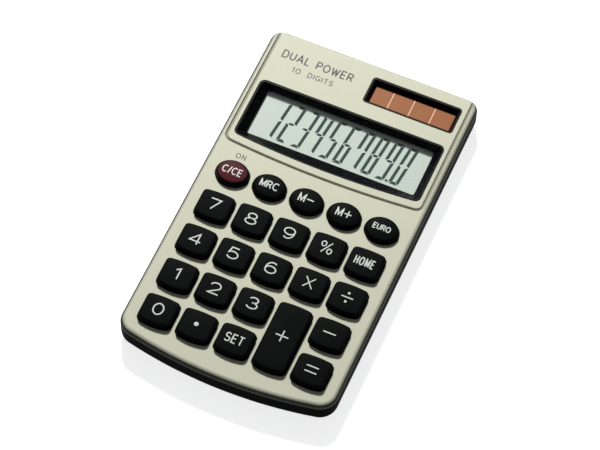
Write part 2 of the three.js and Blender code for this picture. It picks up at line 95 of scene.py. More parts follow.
# Case outline: straight sides and top, and a bottom edge that is one shallow arc.
BOTTOM_RADIUS = 146 * MM
TOP_CORNER = 4 * MM
BOTTOM_CORNER = 5.8 * MM

# Heights of the lid, over the desk.
PARTING_Z = FACE_Z - 1.8 * MM
PLATE_UNDERSIDE = FACE_Z - 1.4 * MM
TRAY_RIM = PARTING_Z - 0.1 * MM
TRAY_FLOOR = UNDERSIDE_Z + 1.3 * MM


def oblong(*millimetres):
    """Sizes of a frame_outline, given in millimetres."""
    names = ("left", "right", "top", "bottom", "bow", "corner")
    return {name: size * MM for name, size in zip(names, millimetres)}


# Upper panel of the face, the two openings in it with the glass seen through each, and the label on the back.
PANEL = oblong(-32.85, 32.85, 66, 14.7, 1.7, 2.4)
DISPLAY = oblong(-31.1, 31.1, 41, 17.6, 1.6, 1.9)
DISPLAY_GLASS = oblong(-28.1, 28.1, 39.5, 22.4, 0, 0.8)
SOLAR = oblong(0.8, 30.8, 56, 46.15, 0, 1.2)
SOLAR_GLASS = oblong(2.5, 29.2, 54.2, 47.9, 0, 0.3)
LABEL = oblong(-18, 18, 30, 10, 0, 1.5)
LABEL_DEPTH = 0.3 * MM

# Painted shade on the front cover starts deeper where the groove runs: from the first two values of y
# upwards, and inside the other two of x on either side. It changes smoothly between the two.
PAINTED_SHADE_EDGE = (11.8 * MM, 12.2 * MM)
PAINTED_SHADE_SIDE = (33.6 * MM, 33.35 * MM)

# Keys: the cap is narrower than its flange, and its outline has a bowed top and bottom edge. The cap and its
# hole are larger than the frame's by the growth, on each side. The stem is shorter than its key.
KEY_OVERHANG = 0.65 * MM
KEY_CORNER = 1.3 * MM
KEY_TOP_BOW = 0.4 * MM
KEY_BOTTOM_BOW = 0.8 * MM
KEY_CLEARANCE = 0.28 * MM
KEY_GROWTH = 0.1 * MM
KEY_FLANGE_TOP = PLATE_UNDERSIDE - KEY_CLEARANCE
KEY_FLANGE_THICKNESS = 0.8 * MM
KEY_FLANGE_REACH = 0.35 * MM
STEM_WIDTH = 7.6 * MM
STEM_SHORTER = 4.3 * MM
STEM_CORNER = 0.9 * MM
OVAL_KEYS = KEYS[:5]
TALL_KEY = "key_plus"
RED_KEY = "key_on_clear"

# Posts and screws.
BOSS_RADIUS = 1.6 * MM
BOARD_BOSS_RADIUS = 1.5 * MM
POST_RADIUS = 2.5 * MM
POST_TOP = 4.7 * MM
COUNTERBORE_RADIUS = 1.75 * MM
COUNTERBORE_TOP = 3 * MM
SHANK_HOLE_RADIUS = 0.8 * MM

# Bosses under the lid: screw, radius, radius of the pilot hole and height of the boss's end.
BOSSES = (
    ("case_screw", BOSS_RADIUS, 0.7 * MM, POST_TOP + 0.1 * MM),
    ("board_screw", BOARD_BOSS_RADIUS, 0.6 * MM, 3.6 * MM),
)

# Screws: name, height of the head, radius of the shank and depth of the thread.
SCREWS = (("case_screw", 1 * MM, 0.55 * MM, 0.14 * MM), ("board_screw", 0.5 * MM, 0.46 * MM, 0.12 * MM))
FOOT_RADIUS = 4 * MM
FOOT_RECESS = 0.5 * MM

# Solar cell: distance from one contact line to the next, half a line's width, and their shift to the left.
CELL_PITCH = 7 * MM
CONTACT_HALF = 0.15 * MM
CONTACT_SHIFT = 0.3 * MM

# Narrow level band between a flat face and the rounding beside it, which keeps the flat face's shading level.
MARGIN = 0.05 * MM
SHARP_ANGLE = math.radians(32)
CORNER_STEPS = 12

# Camera's aim, and the lights: name, place, size and tint of each.
CAMERA_AIM = (1.282 * MM, -2.965 * MM, FACE_Z)
SENSOR_WIDTH = 36
FLOOR_REACH = 3.0
KEY_LIGHT = ("key_light", (-0.42, 0.85, 0.98), 0.16, (1, 1, 0.98))
TOP_LIGHT = ("top_light", (-0.237, 0.566, 1.03), 0.9, (0.98, 0.99, 1))
ROOM_TINT = (0.93, 0.96, 1.0, 1.0)


# ---- Properties ----

def length(name, text, millimetres, low=0):
    """A length property with its default in millimetres."""
    return FloatProperty(
        name=name, description=text, default=millimetres * MM, min=low, unit="LENGTH", precision=5,
    )


def angular(name, text, degrees):
    """An angle property with its default in degrees."""
    return FloatProperty(
        name=name, description=text, default=math.radians(degrees), subtype="ANGLE", unit="ROTATION",
    )


def wattage(name, text, watts):
    """A light's power property."""
    return FloatProperty(name=name, description=text, default=watts, min=0, unit="POWER")


def colour(name, text, red, green, blue):
    """A colour property with its default as display values from 0 to 255."""
    shares = [value / 255 for value in (red, green, blue)]
    linear = [s / 12.92 if s <= 0.04045 else ((s + 0.055) / 1.055) ** 2.4 for s in shares]
    return FloatVectorProperty(
        name=name, description=text, default=linear, min=0, max=1, subtype="COLOR", size=3,
    )


def share(name, text, default, high=1.0):
    """A plain number property from 0 upwards."""
    return FloatProperty(name=name, description=text, default=default, min=0, max=high, subtype="FACTOR")


class CaseSettings(bpy.types.PropertyGroup):
    """Sizes and colours of the two case halves."""

    lid_edge: length("Lid edge", "Rounding of the front cover's outer edge", 1.6)
    lid_lip: length("Lid lip", "Thickness of the front cover's lip", 0.9)
    hole_edge: length("Hole edge", "Rounding of the key holes and openings", 0.18)
    groove_width: length("Groove width", "Width of the line round the upper panel", 0.74)
    groove_depth: length("Groove depth", "Depth of the line round the upper panel", 0.55)
    brow: length("Panel edge", "Rounding of the upper panel's edge, beside the groove", 0.36)
    tray_edge: length("Back edge", "Rounding of the back cover's lower edge", 3)
    tray_wall: length("Back wall", "Thickness of the back cover's wall", 1.7)
    silver: colour("Silver", "Paint of the front cover", 190, 190, 172)
    black: colour("Black", "Plastic of the back cover", 8, 9, 11)
    label: colour("Label", "Foil of the blank label on the back", 150, 152, 150)


class DisplaySettings(bpy.types.PropertyGroup):
    """Sizes and colours of the display and the solar cell."""

    digit_width: length("Digit width", "Width of one digit", 3.25)
    digit_height: length("Digit height", "Height of one digit", 14.65)
    digit_pitch: length("Digit pitch", "Distance from one digit to the next", 4.73)
    digit_stroke: length("Segment width", "Width of one display segment", 1.02)
    digit_gap: length("Segment gap", "Gap between two display segments", 0.33)
    digit_left: length("First digit", "Left edge of the first digit at its foot", -23.66, -1)
    digit_foot: length("Digit foot", "Height of the digits' feet up the face", 23.8)
    slant: angular("Slant", "How far the digits lean to the right", 5.6)
    glass: colour("Display", "Pale reflecting film of the display", 216, 228, 217)
    segment: colour("Segments", "Dark display segments", 58, 80, 76)
    bezel: colour("Surrounds", "Plastic of the display's and the cell's surrounds", 9, 11, 14)
    solar: colour("Solar film", "Front of the solar cell", 160, 93, 46)
    contact: colour("Solar contacts", "Fine lines between the cells", 226, 168, 118)
    window_alpha: share("Window", "How solid the clear window looks", 0.05)


class KeySettings(bpy.types.PropertyGroup):
    """Sizes and colours of the keys and their print."""

    edge: length("Key edge", "Rounding of a key's upper edge", 0.6)
    dome: length("Dome", "How much a square key's top falls away at its edges", 0.22)
    oval_dome: length("Oval dome", "How much an oval key's top falls away at its edges", 0.7)
    rubber: colour("Rubber", "Rubber of the keys", 10, 13, 12)
    red: colour("Red", "Rubber of the red key's top", 82, 22, 32)
    print_colour: colour("Key print", "Print on the keys", 206, 209, 203)
    print_height: length("Print height", "How far the print stands up from a key", 0.02)
    digit_size: length("Digit size", "Height of the digits printed on the keys", 4.2)
    stroke: length("Stroke", "Line width of the print", 0.44)
    shift: length("Shift", "How far the print sits left of a key's middle", 0.1)
    lift: length("Lift", "How far the print sits above a key's middle", 0.15)
    face_print: colour("Face print", "Print on the front cover", 64, 66, 60)


class StageSettings(bpy.types.PropertyGroup):
    """Camera, floor and lights."""

    lens: FloatProperty(name="Lens", description="Focal length in millimetres", default=165.41, min=10)
    distance: length("Distance", "From the camera to the point that it looks at", 835.43)
    azimuth: angular("Azimuth", "Turn of the camera round the calculator", 22.678)
    elevation: angular("Elevation", "Height of the camera over the desk, as an angle", 59.229)
    roll: angular("Roll", "Turn of the picture", 1.244)
    floor: colour("Floor", "Plain pale floor", 203, 204, 204)
    key_power: wattage("Key light", "Light from behind", 20)
    fill_power: wattage("Top light", "Soft light from above", 0.8)
    surround: share("Surround", "Brightness of the room around", 0.1, 5)


# ---- Outlines ----
#
# An outline is an array with one row [x, y, nx, ny] for each point, counter-clockwise seen from above,
# where [nx, ny] points outwards. Each run leaves out its last point, which the next run begins with.

def faced(points, along):
    """Points with outward normals: the direction along the outline, turned a quarter turn to the right."""
    unit = along / np.linalg.norm(along, axis=1, keepdims=True)
    return np.column_stack([points, unit[:, 1], -unit[:, 0]])


def straight(start, end):
    """Start of a straight run: one point, because the next run brings the other end."""
    start, end = np.array([start]), np.array([end])
    return faced(start, end - start)


def bend(centre, radii, start, stop, steps):
    """Elliptical run: centre + (rx cos a, ry sin a), with a from start to stop."""
    angle = start + (stop - start) * np.arange(steps) / steps
    wide, tall = radii
    points = np.column_stack([centre[0] + wide * np.cos(angle), centre[1] + tall * np.sin(angle)])
    return faced(points, np.column_stack([-wide * np.sin(angle), tall * np.cos(angle)]))


def pulled(start, handle, end, steps):
    """Quadratic run: (1-t)^2 start + 2t(1-t) handle + t^2 end, with t from 0 to 1."""
    t = np.arange(steps)[:, None] / steps
    start, handle, end = np.array(start), np.array(handle), np.array(end)
    points = (1 - t) ** 2 * start + 2 * t * (1 - t) * handle + t ** 2 * end
    return faced(points, (1 - t) * (handle - start) + t * (end - handle))


def circle(centre, radius, steps=48):
    """Round outline."""
    return bend(centre, (radius, radius), 0, 2 * math.pi, steps)


def case_outline():
    """Outline of both case halves: corner arcs meet the sides and the big bottom arc smoothly."""
    arc_y = BOTTOM_RADIUS - HALF_LENGTH
    corner_x = HALF_WIDTH - BOTTOM_CORNER
    corner_y = arc_y - math.sqrt((BOTTOM_RADIUS - BOTTOM_CORNER) ** 2 - corner_x ** 2)
    lean = math.atan2(corner_x, arc_y - corner_y)
    top_x, top_y = HALF_WIDTH - TOP_CORNER, HALF_LENGTH - TOP_CORNER
    down = 1.5 * math.pi
    top_radii = (TOP_CORNER, TOP_CORNER)
    low_radii = (BOTTOM_CORNER, BOTTOM_CORNER)
    return np.concatenate([
        straight((HALF_WIDTH, corner_y), (HALF_WIDTH, top_y)),
        bend((top_x, top_y), top_radii, 0, math.pi / 2, 16),
        straight((top_x, HALF_LENGTH), (-top_x, HALF_LENGTH)),
        bend((-top_x, top_y), top_radii, math.pi / 2, math.pi, 16),
        straight((-HALF_WIDTH, top_y), (-HALF_WIDTH, corner_y)),
        bend((-corner_x, corner_y), low_radii, math.pi, down - lean, 20),
        bend((0, arc_y), (BOTTOM_RADIUS, BOTTOM_RADIUS), down - lean, down + lean, 48),
        bend((corner_x, corner_y), low_radii, down + lean, 2 * math.pi, 20),
    ])


def frame_outline(left, right, top, bottom, bow, corner):
    """Oblong with rounded corners, whose lower edge bows downwards by bow."""
    side = bottom + bow
    lift = bow * corner * 4 / (right - left)
    radii, steps = (corner, corner), CORNER_STEPS
    low, high, base = side + corner, top - corner, side - lift
    near, far = left + corner, right - corner
    handle = ((left + right) / 2, side - 2 * bow + lift)
    return np.concatenate([
        straight((right, low), (right, high)),
        bend((far, high), radii, 0, math.pi / 2, steps),
        straight((far, top), (near, top)),
        bend((near, high), radii, math.pi / 2, math.pi, steps),
        straight((left, high), (left, low)),
        pulled((left, low), (left, side), (near, base), steps),
        pulled((near, base), handle, (far, base), 32),
        pulled((far, base), (right, side), (right, low), steps),
    ])


def key_outline(centre, width, height, corner, top_bow, bottom_bow):
    """Key with straight sides, a top edge that bows a little and a bottom edge that bows more."""
    x, y = centre
    w, h = width / 2, height / 2
    upper, lower = y + h - top_bow, y - h + bottom_bow
    part = 1 - ((w - corner) / w) ** 2
    top_y, top_pull = upper + part * top_bow, upper + (2 - part) * top_bow
    low_y, low_pull = lower - part * bottom_bow, lower - (2 - part) * bottom_bow
    left, right, low, high = x - w, x + w, lower + corner, upper - corner
    near, far = left + corner, right - corner
    return np.concatenate([
        straight((right, low), (right, high)),
        pulled((right, high), (right, upper), (far, top_y), 10),
        pulled((far, top_y), (x, top_pull), (near, top_y), 14),
        pulled((near, top_y), (left, upper), (left, high), 10),
        straight((left, high), (left, low)),
        pulled((left, low), (left, lower), (near, low_y), 10),
        pulled((near, low_y), (x, low_pull), (far, low_y), 14),
        pulled((far, low_y), (right, lower), (right, low), 10),
    ])


# ---- Surfaces ----

def carried(outline, profile):
    """A profile carried round an outline. A profile row is (inset, height): each outline point moves
    inwards along its normal by inset, at that height. The result has a row of points for each profile row."""
    profile = np.array(profile, float)
    inset, height = profile[:, 0, None], profile[:, 1, None]
    x = outline[:, 0] - inset * outline[:, 2]
    y = outline[:, 1] - inset * outline[:, 3]
    return np.stack([x, y, height + 0 * x], axis=2)


def drawn_in(ring, target, shares):
    """Rings between one ring of points and its target points: ring + share (target - ring)."""
    shares = np.array(shares, float)[:, None, None]
    return ring + shares * (target - ring)


def rounding(radius, steps=8):
    """Quarter circle as rows (inset, drop), from the wall at (0, radius) to the face at (radius, 0)."""
    angle = np.linspace(0, math.pi / 2, steps + 1)
    return np.column_stack([radius * (1 - np.cos(angle)), radius * (1 - np.sin(angle))])


def with_height(rows, height, sign=-1):
    """Rows (inset, drop) as profile rows (inset, height + sign drop)."""
    return np.column_stack([rows[:, 0], height + sign * rows[:, 1]])


class Shell:
    """The points and faces of one piece, put together from strips and flats that share their edges."""

    def __init__(self):
        self.points = []
        self.faces = []
        self.count = 0

    def add(self, points, faces):
        self.points.append(points.reshape(-1, 3))
        self.faces += (faces + self.count).tolist()
        self.count += len(self.points[-1])

    def strip(self, grid, looped=False, open_ends=False):
        """Faces between neighbouring rows of a grid of points. looped joins the last row to the first,
        and open_ends leaves the ends of the rows unjoined. Rows that run outwards over a top, then down
        a wall, then inwards underneath give faces that point out."""
        rows, columns = grid.shape[:2]
        index = np.arange(rows * columns).reshape(rows, columns)
        if looped:
            index = np.vstack([index, index[:1]])
        if not open_ends:
            index = np.hstack([index, index[:, :1]])
        corners = [index[:-1, :-1], index[1:, :-1], index[1:, 1:], index[:-1, 1:]]
        self.add(grid, np.stack(corners, axis=2).reshape(-1, 4))

    def ends(self, grid):
        """Faces over the two ends of a strip that was left open."""
        order = np.arange(len(grid))
        self.add(grid[:, 0], order[None, ::-1])
        self.add(grid[:, -1], order[None])

    def flat(self, loops, up):
        """Level face between an outer loop and the loops of its holes."""
        points = np.concatenate(loops)
        triangles = np.array(tessellate_polygon([loop.tolist() for loop in loops]))
        first, second, third = (points[triangles[:, i]] for i in range(3))
        turn = np.cross(second - first, third - first)[:, 2]
        wrong = turn < 0 if up else turn > 0
        triangles[wrong] = triangles[wrong][:, ::-1]
        self.add(points, triangles)

    def slab(self, grid):
        """Closed plate: the grid's rows run down its edge, and a level face closes each side."""
        self.strip(grid)
        self.flat([grid[0]], up=True)
        self.flat([grid[-1]], up=False)

    def piece(self, name, material):
        """The finished object, with shared edges joined and its shading set."""
        mesh = bpy.data.meshes.new(name)
        mesh.from_pydata(np.concatenate(self.points), [], self.faces)
        edit = bmesh.new()
        edit.from_mesh(mesh)
        bmesh.ops.remove_doubles(edit, verts=edit.verts, dist=1e-8)
        edit.to_mesh(mesh)
        edit.free()
        shade(mesh)
        mesh.materials.append(material)
        return placed(name, mesh)


def placed(name, data):
    """A new object in the scene, made of its data."""
    made = bpy.data.objects.new(name, data)
    bpy.context.scene.collection.objects.link(made)
    return made


def shade(mesh):
    """Smooth shading, with level faces kept flat and edges kept sharp where faces meet at a wide angle."""
    mesh.shade_smooth()
    mesh.set_sharp_from_angle(angle=SHARP_ANGLE)
    normals = np.empty(len(mesh.polygons) * 3, np.float32)
    mesh.polygons.foreach_get("normal", normals)
    mesh.polygons.foreach_set("use_smooth", np.abs(normals[2::3]) < 0.99999)


def plate(shell, loop, low, high):
    """Closed flat plate between two heights, from one loop of [x, y] points."""
    shell.slab(np.stack([np.column_stack([loop, np.full(len(loop), z)]) for z in (high, low)]))


def turned(shell, centre, rows, steps=48):
    """Solid turned about an upright axis, from rows (radius, height) that run from the top to the bottom."""
    rows = np.array(rows, float)
    shell.strip(carried(circle(centre, 1, steps), np.column_stack([1 - rows[:, 0], rows[:, 1]])))


def settle(piece, body, slot, *nodes):
    """A finished piece rides on its body and stands for CAD nodes, which are hidden. The slot is not used."""
    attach(piece, body)
    if nodes:
        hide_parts(*nodes)
    return piece


# ---- Materials ----

FINE = "_fine"  # ends the name of every material made here, because the frame's own have the plain names


class Signal:
    """A node's output that can be used in sums. Each operator adds a Math node."""

    def __init__(self, finish, socket):
        self.finish = finish
        self.socket = socket

    def sum(self, operation, first, second):
        return self.finish.node("ShaderNodeMath", {"operation": operation}, {0: first, 1: second})

    def __add__(self, other):
        return self.sum("ADD", self, other)

    def __sub__(self, other):
        return self.sum("SUBTRACT", self, other)

    def __mul__(self, other):
        return self.sum("MULTIPLY", self, other)

    def __pow__(self, other):
        return self.sum("POWER", self, other)

    __radd__ = __add__
    __rmul__ = __mul__


class Finish:
    """A material in the making."""

    def __init__(self, name):
        self.material = bpy.data.materials.new(name + FINE)
        self.material.use_nodes = True
        self.tree = self.material.node_tree
        self.tree.nodes.clear()

    def node(self, kind, settings=None, inputs=None, output=0):
        """Adds a node: its settings first, then its sockets' values or links."""
        made = self.tree.nodes.new(kind)
        for name, value in (settings or {}).items():
            setattr(made, name, value)
        for name, value in (inputs or {}).items():
            if isinstance(value, Signal):
                self.tree.links.new(value.socket, made.inputs[name])
            else:
                made.inputs[name].default_value = value
        return None if output is None else Signal(self, made.outputs[output])

    def place(self):
        """Object coordinates."""
        return self.node("ShaderNodeTexCoord", output="Object")

    def axes(self):
        """X, Y and Z of the object coordinates, in metres."""
        parts = self.node("ShaderNodeSeparateXYZ", {}, {0: self.place()})
        outputs = parts.socket.node.outputs
        return tuple(Signal(self, socket) for socket in outputs)

    def noise(self, size, detail=2.0):
        """Soft noise from 0 to 1, whose lumps measure about size."""
        inputs = {"Vector": self.place(), "Scale": 1 / size, "Detail": detail}
        return self.node("ShaderNodeTexNoise", {}, inputs)

    def cells(self, size):
        """Distance to the nearest of scattered points, about size apart."""
        inputs = {"Vector": self.place(), "Scale": 1 / size}
        return self.node("ShaderNodeTexVoronoi", {}, inputs, "Distance")

    def blend(self, factor, first, second):
        """Colour between two colours."""
        inputs = {0: factor, 6: paint(first), 7: paint(second)}
        return self.node("ShaderNodeMix", {"data_type": "RGBA"}, inputs, 2)

    def ramp(self, factor, low, high):
        """0 below low, 1 above high, and a smooth step between."""
        inputs = {"Value": factor, "From Min": low, "From Max": high}
        return self.node("ShaderNodeMapRange", {"interpolation_type": "SMOOTHSTEP"}, inputs)

    def bump(self, height, depth, normal=None):
        """Normal that a height from 0 to 1, of that depth, gives."""
        inputs = {"Height": height, "Distance": depth, "Strength": 1.0}
        if normal is not None:
            inputs["Normal"] = normal
        return self.node("ShaderNodeBump", {}, inputs)

    def surface(self, **inputs):
        """Ends the material in a Principled shader. Names are its sockets', with _ for a space."""
        named = {name.replace("_", " "): value for name, value in inputs.items()}
        shader = self.node("ShaderNodeBsdfPrincipled", {}, named)
        self.node("ShaderNodeOutputMaterial", {}, {"Surface": shader}, None)
        return self.material


def paint(value):
    """A colour of three numbers as a socket's four, and anything else as it is."""
    return value if isinstance(value, Signal) else (*value[:3], 1.0)


def scaled(value, factor):
    """A lighter or darker colour."""
    return tuple(min(channel * factor, 1.0) for channel in value[:3])


def moulded(name, tint, roughness, grain, depth, mottle=0.1, metallic=0.0, shine=0.5):
    """Moulded or painted surface: a fine grain in the bump, and slow changes of colour and gloss."""
    finish = Finish(name)
    slow = finish.noise(6 * MM, 3)
    fine = finish.noise(grain, 2)
    base = finish.blend(slow * 0.6 + fine * 0.4, scaled(tint, 1 - mottle), scaled(tint, 1 + mottle))
    gloss = roughness * (1 - mottle) + slow * (2 * mottle * roughness)
    return finish.surface(
        Base_Color=base, Roughness=gloss, Metallic=metallic, Normal=finish.bump(fine, depth),
        Specular_IOR_Level=shine,
    )


def silver_paint(name, tint):
    """Metallic paint: a fine sparkle of flakes under a satin surface. Below the face, towards the lip and
    down in the holes, it turns dark olive: painted shade, which also stands for the dark plastic showing
    where the paint thins out. In the groove the painted shade starts deeper."""
    finish = Finish(name)
    flakes = finish.cells(0.12 * MM)
    mist = finish.noise(0.3 * MM, 3)
    slow = finish.noise(14 * MM, 2)
    x, y, z = finish.axes()
    groove = finish.ramp(y, *PAINTED_SHADE_EDGE) * finish.ramp((x * x) ** 0.5, *PAINTED_SHADE_SIDE)
    shade_height = z + groove * (0.3 * MM) + mist * (0.05 * MM)
    # Painted shade: the paint gives way to dark olive below the face, at the lip and down in the holes. Where
    # the groove mask is 1, it starts deeper.
    cover = finish.ramp(shade_height, FACE_Z - 0.45 * MM, FACE_Z - 0.03 * MM)
    sparkle = flakes * 0.5 + mist * 0.3 + slow * 0.2
    painted = finish.blend(sparkle, scaled(tint, 1.06), scaled(tint, 0.93))
    return finish.surface(
        # Painted shade: dark olive where cover is low, the paint's colour where it is high.
        Base_Color=finish.blend(cover, (0.04, 0.04, 0.032), painted), Metallic=0.14 * cover,
        Roughness=0.5 + mist * 0.08, Normal=finish.bump(mist, 0.003 * MM), Specular_IOR_Level=0.09,
    )


def red_key_rubber(name, black, red, centre):
    """Black rubber with a dark red top that ends a little inside the key's oval edge."""
    finish = Finish(name)
    x, y, _ = finish.axes()
    wide = (x - float(centre[0])) * (1 / (4.55 * MM))
    tall = (y - float(centre[1])) * (1 / (3.62 * MM))
    radius = (wide * wide + tall * tall) ** 0.5
    wobble = finish.noise(1.5 * MM, 2)
    rim = finish.ramp(radius + wobble * 0.02, 0.97, 1.03)
    fine = finish.noise(0.12 * MM, 2)
    top = finish.blend(fine, scaled(red, 0.9), scaled(red, 1.12))
    side = finish.blend(fine, scaled(black, 0.85), scaled(black, 1.15))
    return finish.surface(
        Base_Color=finish.blend(rim, top, side), Roughness=0.42 + fine * 0.12,
        Normal=finish.bump(fine, 0.003 * MM), Specular_IOR_Level=0.05,
    )


def display_film(name, tint):
    """Pale reflecting film behind the display's glass, with a very fine silky grain."""
    finish = Finish(name)
    silk = finish.noise(0.15 * MM, 3)
    slow = finish.noise(12 * MM, 2)
    base = finish.blend(silk * 0.5 + slow * 0.5, scaled(tint, 0.93), scaled(tint, 1.05))
    return finish.surface(
        Base_Color=base, Roughness=0.32 + silk * 0.1, Normal=finish.bump(silk, 0.003 * MM),
        Specular_IOR_Level=0.1,
    )


def clear_window(name, alpha):
    """Clear acrylic window that shows what lies under it."""
    finish = Finish(name)
    haze = finish.noise(8 * MM, 2)
    return finish.surface(
        Base_Color=finish.blend(haze, (0.24, 0.27, 0.27), (0.3, 0.33, 0.33)),
        Roughness=0.03 + haze * 0.03, Alpha=alpha, IOR=1.3,
    )


def solar_film(name, tint):
    """Amorphous solar film: a warm brown that drifts slightly, under glass."""
    finish = Finish(name)
    slow = finish.noise(7 * MM, 2)
    fine = finish.noise(0.1 * MM, 2)
    base = finish.blend(slow * 0.7 + fine * 0.3, scaled(tint, 0.86), scaled(tint, 1.12))
    return finish.surface(
        Base_Color=base, Roughness=0.34 + fine * 0.08, Normal=finish.bump(fine, 0.002 * MM),
        Specular_IOR_Level=0.1,
    )


def board_laminate(name):
    """Green board with lighter copper tracks under its lacquer."""
    finish = Finish(name)
    x, y, _ = finish.axes()
    across = finish.node("ShaderNodeMath", {"operation": "PINGPONG"}, {0: x + y * 0.35, 1: 0.9 * MM})
    lanes = finish.ramp(across, 0.28 * MM, 0.36 * MM)
    gaps = finish.ramp(finish.noise(5 * MM, 1), 0.44, 0.5)
    tracks = lanes * gaps
    fine = finish.noise(0.2 * MM, 2)
    base = finish.blend(tracks, (0.012, 0.09, 0.035), (0.035, 0.2, 0.07))
    height = tracks * 0.8 + fine * 0.2
    return finish.surface(
        Base_Color=base, Roughness=0.4 + fine * 0.15, Normal=finish.bump(height, 0.03 * MM),
    )


def brushed_metal(name, tint, roughness, stretch):
    """Metal with fine marks drawn out along one direction."""
    finish = Finish(name)
    mapped = finish.node("ShaderNodeMapping", {}, {"Vector": finish.place(), "Scale": stretch})
    inputs = {"Vector": mapped, "Scale": 1 / (0.08 * MM), "Detail": 3.0}
    marks = finish.node("ShaderNodeTexNoise", {}, inputs)
    slow = finish.noise(3 * MM, 2)
    base = finish.blend(marks * 0.5 + slow * 0.5, scaled(tint, 0.85), scaled(tint, 1.1))
    return finish.surface(
        Base_Color=base, Metallic=1.0, Roughness=roughness * 0.8 + marks * (0.4 * roughness),
        Normal=finish.bump(marks, 0.004 * MM),
    )


def floor_paper(name, tint):
    """Plain pale backdrop paper."""
    finish = Finish(name)
    slow = finish.noise(60 * MM, 2)
    base = finish.blend(slow, scaled(tint, 0.995), scaled(tint, 1.005))
    return finish.surface(Base_Color=base, Roughness=0.9, Emission_Color=(1, 1, 1, 1), Emission_Strength=0.8)


def finish_named(name, maker, *values):
    """A material by its name, made when it is first asked for."""
    return bpy.data.materials.get(name + FINE) or maker(name, *values)


# ---- Front cover ----

def key_shape(key):
    """A key cap's middle, outline, width and height, from its CAD box."""
    low, high = span(key)
    centre = middle(key)[:2]
    width = high[0] - low[0] - 2 * KEY_OVERHANG + 2 * KEY_GROWTH
    height = high[1] - low[1] + 2 * KEY_GROWTH
    if key in OVAL_KEYS:
        outline = bend(centre, (width / 2, height / 2), 0, 2 * math.pi, 80)
    else:
        outline = key_outline(centre, width, height, KEY_CORNER, KEY_TOP_BOW, KEY_BOTTOM_BOW)
    return centre, outline, width, height


def hole_rows(grow, edge):
    """Wall of a hole from the plate's underside up to its rounded edge and the level margin round it."""
    rise = rounding(edge, 5)
    wall = np.column_stack([-grow - rise[:, 0], FACE_Z - rise[:, 1]])
    return np.vstack([[-grow, PLATE_UNDERSIDE], wall, [-grow - edge - MARGIN, FACE_Z]])


def boss_rows(radius, pilot, bottom):
    """A boss under the plate: down its wall, across its end, and up the pilot hole to the middle."""
    return [(0, PLATE_UNDERSIDE), (0, bottom), (radius - pilot, bottom), (radius - pilot, PLATE_UNDERSIDE),
            (radius, PLATE_UNDERSIDE)]


def front_cover_shell(settings):
    """The lid: a rounded outer edge, a lip, and a plate with its holes and bosses."""
    shell = Shell()
    edge, lip, hole = settings.lid_edge, settings.lid_lip, settings.hole_edge
    over = with_height(rounding(edge, 12), FACE_Z)[::-1]
    break_edge = 0.08 * MM
    outside = np.vstack([
        [edge + MARGIN, FACE_Z], over,
        [0, PARTING_Z + break_edge], [break_edge, PARTING_Z],
        [lip - break_edge, PARTING_Z], [lip, PARTING_Z + break_edge], [lip, PLATE_UNDERSIDE],
    ])
    rim = carried(case_outline(), outside)
    shell.strip(rim)
    top_loops, under_loops = [rim[0]], [rim[-1]]
    openings = [(key_shape(key)[1], KEY_CLEARANCE) for key in KEYS]
    openings += [(frame_outline(**DISPLAY), 0), (frame_outline(**SOLAR), 0)]
    for outline, grow in openings:
        wall = carried(outline, hole_rows(grow, hole))
        shell.strip(wall)
        under_loops.append(wall[0])
        top_loops.append(wall[-1])
    for name, radius, pilot, end in BOSSES:
        for node in nodes_like(name):
            boss = carried(circle(middle(node)[:2], radius, 32), boss_rows(radius, pilot, end))
            shell.strip(boss)
            under_loops.append(boss[0])
    shell.flat(top_loops, up=True)
    shell.flat(under_loops, up=False)
    return shell


def panel_groove_cutter(settings):
    """The solid that the groove leaves out: a narrow channel whose edge on the panel's side is rounded,
    carried down one side of the panel, along its bowed lower edge and up the other side."""
    outline = frame_outline(**PANEL)
    start = 2 * (1 + CORNER_STEPS)
    path = np.vstack([outline[start:], outline[:1], [[PANEL["right"], PANEL["top"], 1, 0]]])
    half, depth = settings.groove_width / 2, settings.groove_depth
    flare, floor, above = 0.07 * MM, 0.12 * MM, 0.6 * MM
    brow = rounding(settings.brow, 6)[:-1]
    reach, skim = half + settings.brow * 1.5, 0.05 * MM
    section = np.vstack([
        [-half - flare - above, FACE_Z + above], [-half, FACE_Z - flare],
        [-half, FACE_Z - depth + floor], [-half + floor, FACE_Z - depth],
        [half - floor, FACE_Z - depth], with_height(brow, FACE_Z) + [half, 0],
        [reach, FACE_Z + skim], [reach, FACE_Z + above],
    ])
    grid = carried(path, section)
    shell = Shell()
    shell.strip(grid, looped=True, open_ends=True)
    shell.ends(grid)
    return shell.piece("groove_cutter", None)


def cut_away(piece, cutter):
    """Cuts one object's shape out of another and keeps the result as its mesh."""
    cut = piece.modifiers.new("cut", "BOOLEAN")
    cut.operation = "DIFFERENCE"
    cut.solver = "EXACT"
    cut.object = cutter
    graph = bpy.context.evaluated_depsgraph_get()
    result = bpy.data.meshes.new_from_object(piece.evaluated_get(graph))
    piece.modifiers.clear()
    piece.data = result
    bpy.data.objects.remove(cutter)
    shade(result)


# ---- Back cover ----

